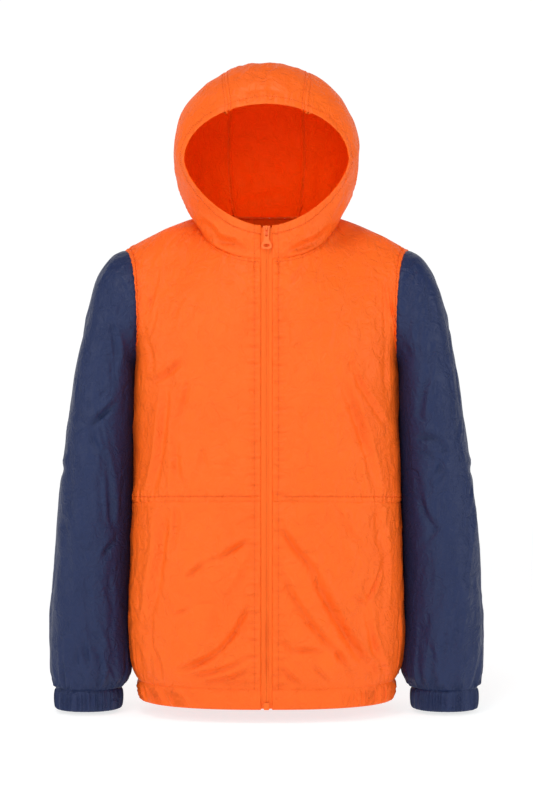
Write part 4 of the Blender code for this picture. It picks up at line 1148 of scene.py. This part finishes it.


# Thin nylon: fine crinkles as a bump, and colour that wanders slightly. The glow is painted light: an
# emission in the light colour that stands for light that comes through the cloth to its inner face
def nylon(name, look, gloss, glow=0.0):
    material = bpy.data.materials.new(name)
    material.use_nodes = True
    tree = material.node_tree
    shader = tree.nodes["Principled BSDF"]
    place = node(tree, "TexCoord", "Object")
    wander = node(tree, "TexNoise", "Fac", Vector=place, **looks["wander"])
    coarse = node(tree, "TexNoise", "Fac", Vector=place, **looks["coarse"])
    fine = node(tree, "TexNoise", "Fac", Vector=place, **looks["fine"])
    ridges = (coarse * 2 - 1).math("ABSOLUTE") * -1.6
    height = ridges.math("EXPONENT") * 0.8 + coarse * 0.5 + fine * 0.25
    connect(tree, shader.inputs["Base Color"], mixColour(tree, wander, look["colour"], look["light"]))
    connect(tree, shader.inputs["Roughness"], look["roughness"] + (fine - 0.5) * 0.12)
    shader.inputs["Specular IOR Level"].default_value = gloss
    # Painted glow: the face emits its light colour, for light that comes through the cloth
    shader.inputs["Emission Color"].default_value = look["light"]
    shader.inputs["Emission Strength"].default_value = glow
    bumped = node(tree, "Bump", "Normal", Height=height, **looks["crinkle"])
    connect(tree, shader.inputs["Normal"], bumped)
    return material


def plain(name, look):
    material = bpy.data.materials.new(name)
    material.use_nodes = True
    shader = material.node_tree.nodes["Principled BSDF"]
    shader.inputs["Base Color"].default_value = look["colour"]
    shader.inputs["Roughness"].default_value = look["roughness"]
    shader.inputs["Specular IOR Level"].default_value = look["gloss"]
    return material


print("materials")
orangeCloth = nylon("orange nylon", looks["orange"], looks["outerGloss"])
# The inner faces get the redder copy of the nylon, painted light for light through and inside the cloth
orangeInsidePaintedLight = nylon("orange nylon, inner face, painted light", looks["orangeInsidePaintedLight"], looks["innerGloss"])
hoodInsidePaintedGlow = nylon("orange nylon, hood inner face, painted glow", looks["orangeInsidePaintedLight"], looks["innerGloss"],
                   looks["innerPaintedGlow"])
navyCloth = nylon("navy nylon", looks["navy"], looks["outerGloss"])
tapeCloth = plain("zip tape weave", looks["tape"])
thread = plain("orange thread", looks["thread"])
enamel = plain("orange enamel", looks["enamel"])
for name, piece in made.items():
    outer, inner = orangeCloth, orangeInsidePaintedLight
    if name.startswith(("sleeve", "cuff")):
        outer, inner = navyCloth, navyCloth
    elif name.startswith("hood"):
        # the hood's inner face also gets the painted glow
        inner = hoodInsidePaintedGlow
    piece.data.materials.append(outer)
    piece.data.materials.append(inner)
for piece in bpy.context.scene.objects:
    if "stitches" in piece.name:
        piece.data.materials.append(thread)
    if piece.name in ("zip_teeth", "zip_core"):
        piece.data.materials.append(tapeCloth)
for name, part in frame["nodes"].items():
    for holder in part.material_slots:
        if "tape" in name:
            holder.material = tapeCloth
        elif name.startswith("zip"):
            holder.material = enamel


# Studio: pale floor, white backdrop, soft boxes
studio = {
    "floorZ": -0.70, "floorHalf": 4, "backdropY": 4.2, "backdropGlow": 1.02, "world": 0.19,
    "floorColour": (0.40, 0.40, 0.40, 1), "floorGlow": (0.74, 0.745, 0.745, 1),
    "boxes": (   # name, place, target, size, watts
        ("left side", (-2.3, -0.9, 0.5), (0, 0, -0.25), 1.2, 17),
        ("right side", (2.3, -1.0, 0.4), (0, 0, -0.25), 1.2, 20),
        ("front", (-0.3, -3.0, 0.5), (0, 0, -0.2), 1.3, 25),
        ("top", (-0.4, -1.4, 2.2), (0, 0, -0.3), 0.8, 28),
    ),
    "cameraDistance": 2.6, "cameraZ": -0.26, "lens": 82.4,
}


def lamp(name, place, target, size, watts):
    light = bpy.data.lights.new(name, "AREA")
    light.shape = "SQUARE"
    light.size = size
    light.energy = watts
    holder = bpy.data.objects.new(name, light)
    holder.location = place
    way = mathutils.Vector(target) - mathutils.Vector(place)
    holder.rotation_euler = way.to_track_quat("-Z", "Y").to_euler()
    bpy.context.scene.collection.objects.link(holder)


def panel(name, corners, material):
    mesh = bpy.data.meshes.new(name)
    mesh.from_pydata(corners, [], [(0, 1, 2, 3)])
    mesh.materials.append(material)
    holder = bpy.data.objects.new(name, mesh)
    bpy.context.scene.collection.objects.link(holder)


def setStudio():
    z, half, back = studio["floorZ"], studio["floorHalf"], studio["backdropY"]
    floor = plain("floor", {"colour": studio["floorColour"], "roughness": 0.9, "gloss": 0.5})
    shader = floor.node_tree.nodes["Principled BSDF"]
    shader.inputs["Emission Color"].default_value = studio["floorGlow"]
    shader.inputs["Emission Strength"].default_value = 1.0
    panel("floor", [(-half, -half, z), (half, -half, z), (half, back, z), (-half, back, z)], floor)
    white = plain("backdrop", {"colour": (0, 0, 0, 1), "roughness": 1.0, "gloss": 0.5})
    shader = white.node_tree.nodes["Principled BSDF"]
    shader.inputs["Emission Color"].default_value = (1, 1, 1, 1)
    shader.inputs["Emission Strength"].default_value = studio["backdropGlow"]
    panel("backdrop", [(-half, back, z), (half, back, z), (half, back, half), (-half, back, half)], white)
    world = bpy.data.worlds.new("studio")
    world.use_nodes = True
    world.node_tree.nodes["Background"].inputs["Color"].default_value = (1, 1, 1, 1)
    world.node_tree.nodes["Background"].inputs["Strength"].default_value = studio["world"]
    bpy.context.scene.world = world
    for row in studio["boxes"]:
        lamp(*row)
    camera = bpy.data.cameras.new("camera")
    camera.lens = studio["lens"]
    camera.sensor_width = 36
    camera.dof.use_dof = False
    holder = bpy.data.objects.new("camera", camera)
    holder.location = (0, -studio["cameraDistance"], studio["cameraZ"])
    holder.rotation_euler = (math.pi / 2, 0, 0)
    bpy.context.scene.collection.objects.link(holder)
    bpy.context.scene.camera = holder
    bpy.context.scene.view_settings.view_transform = "Standard"


print("studio")
setStudio()
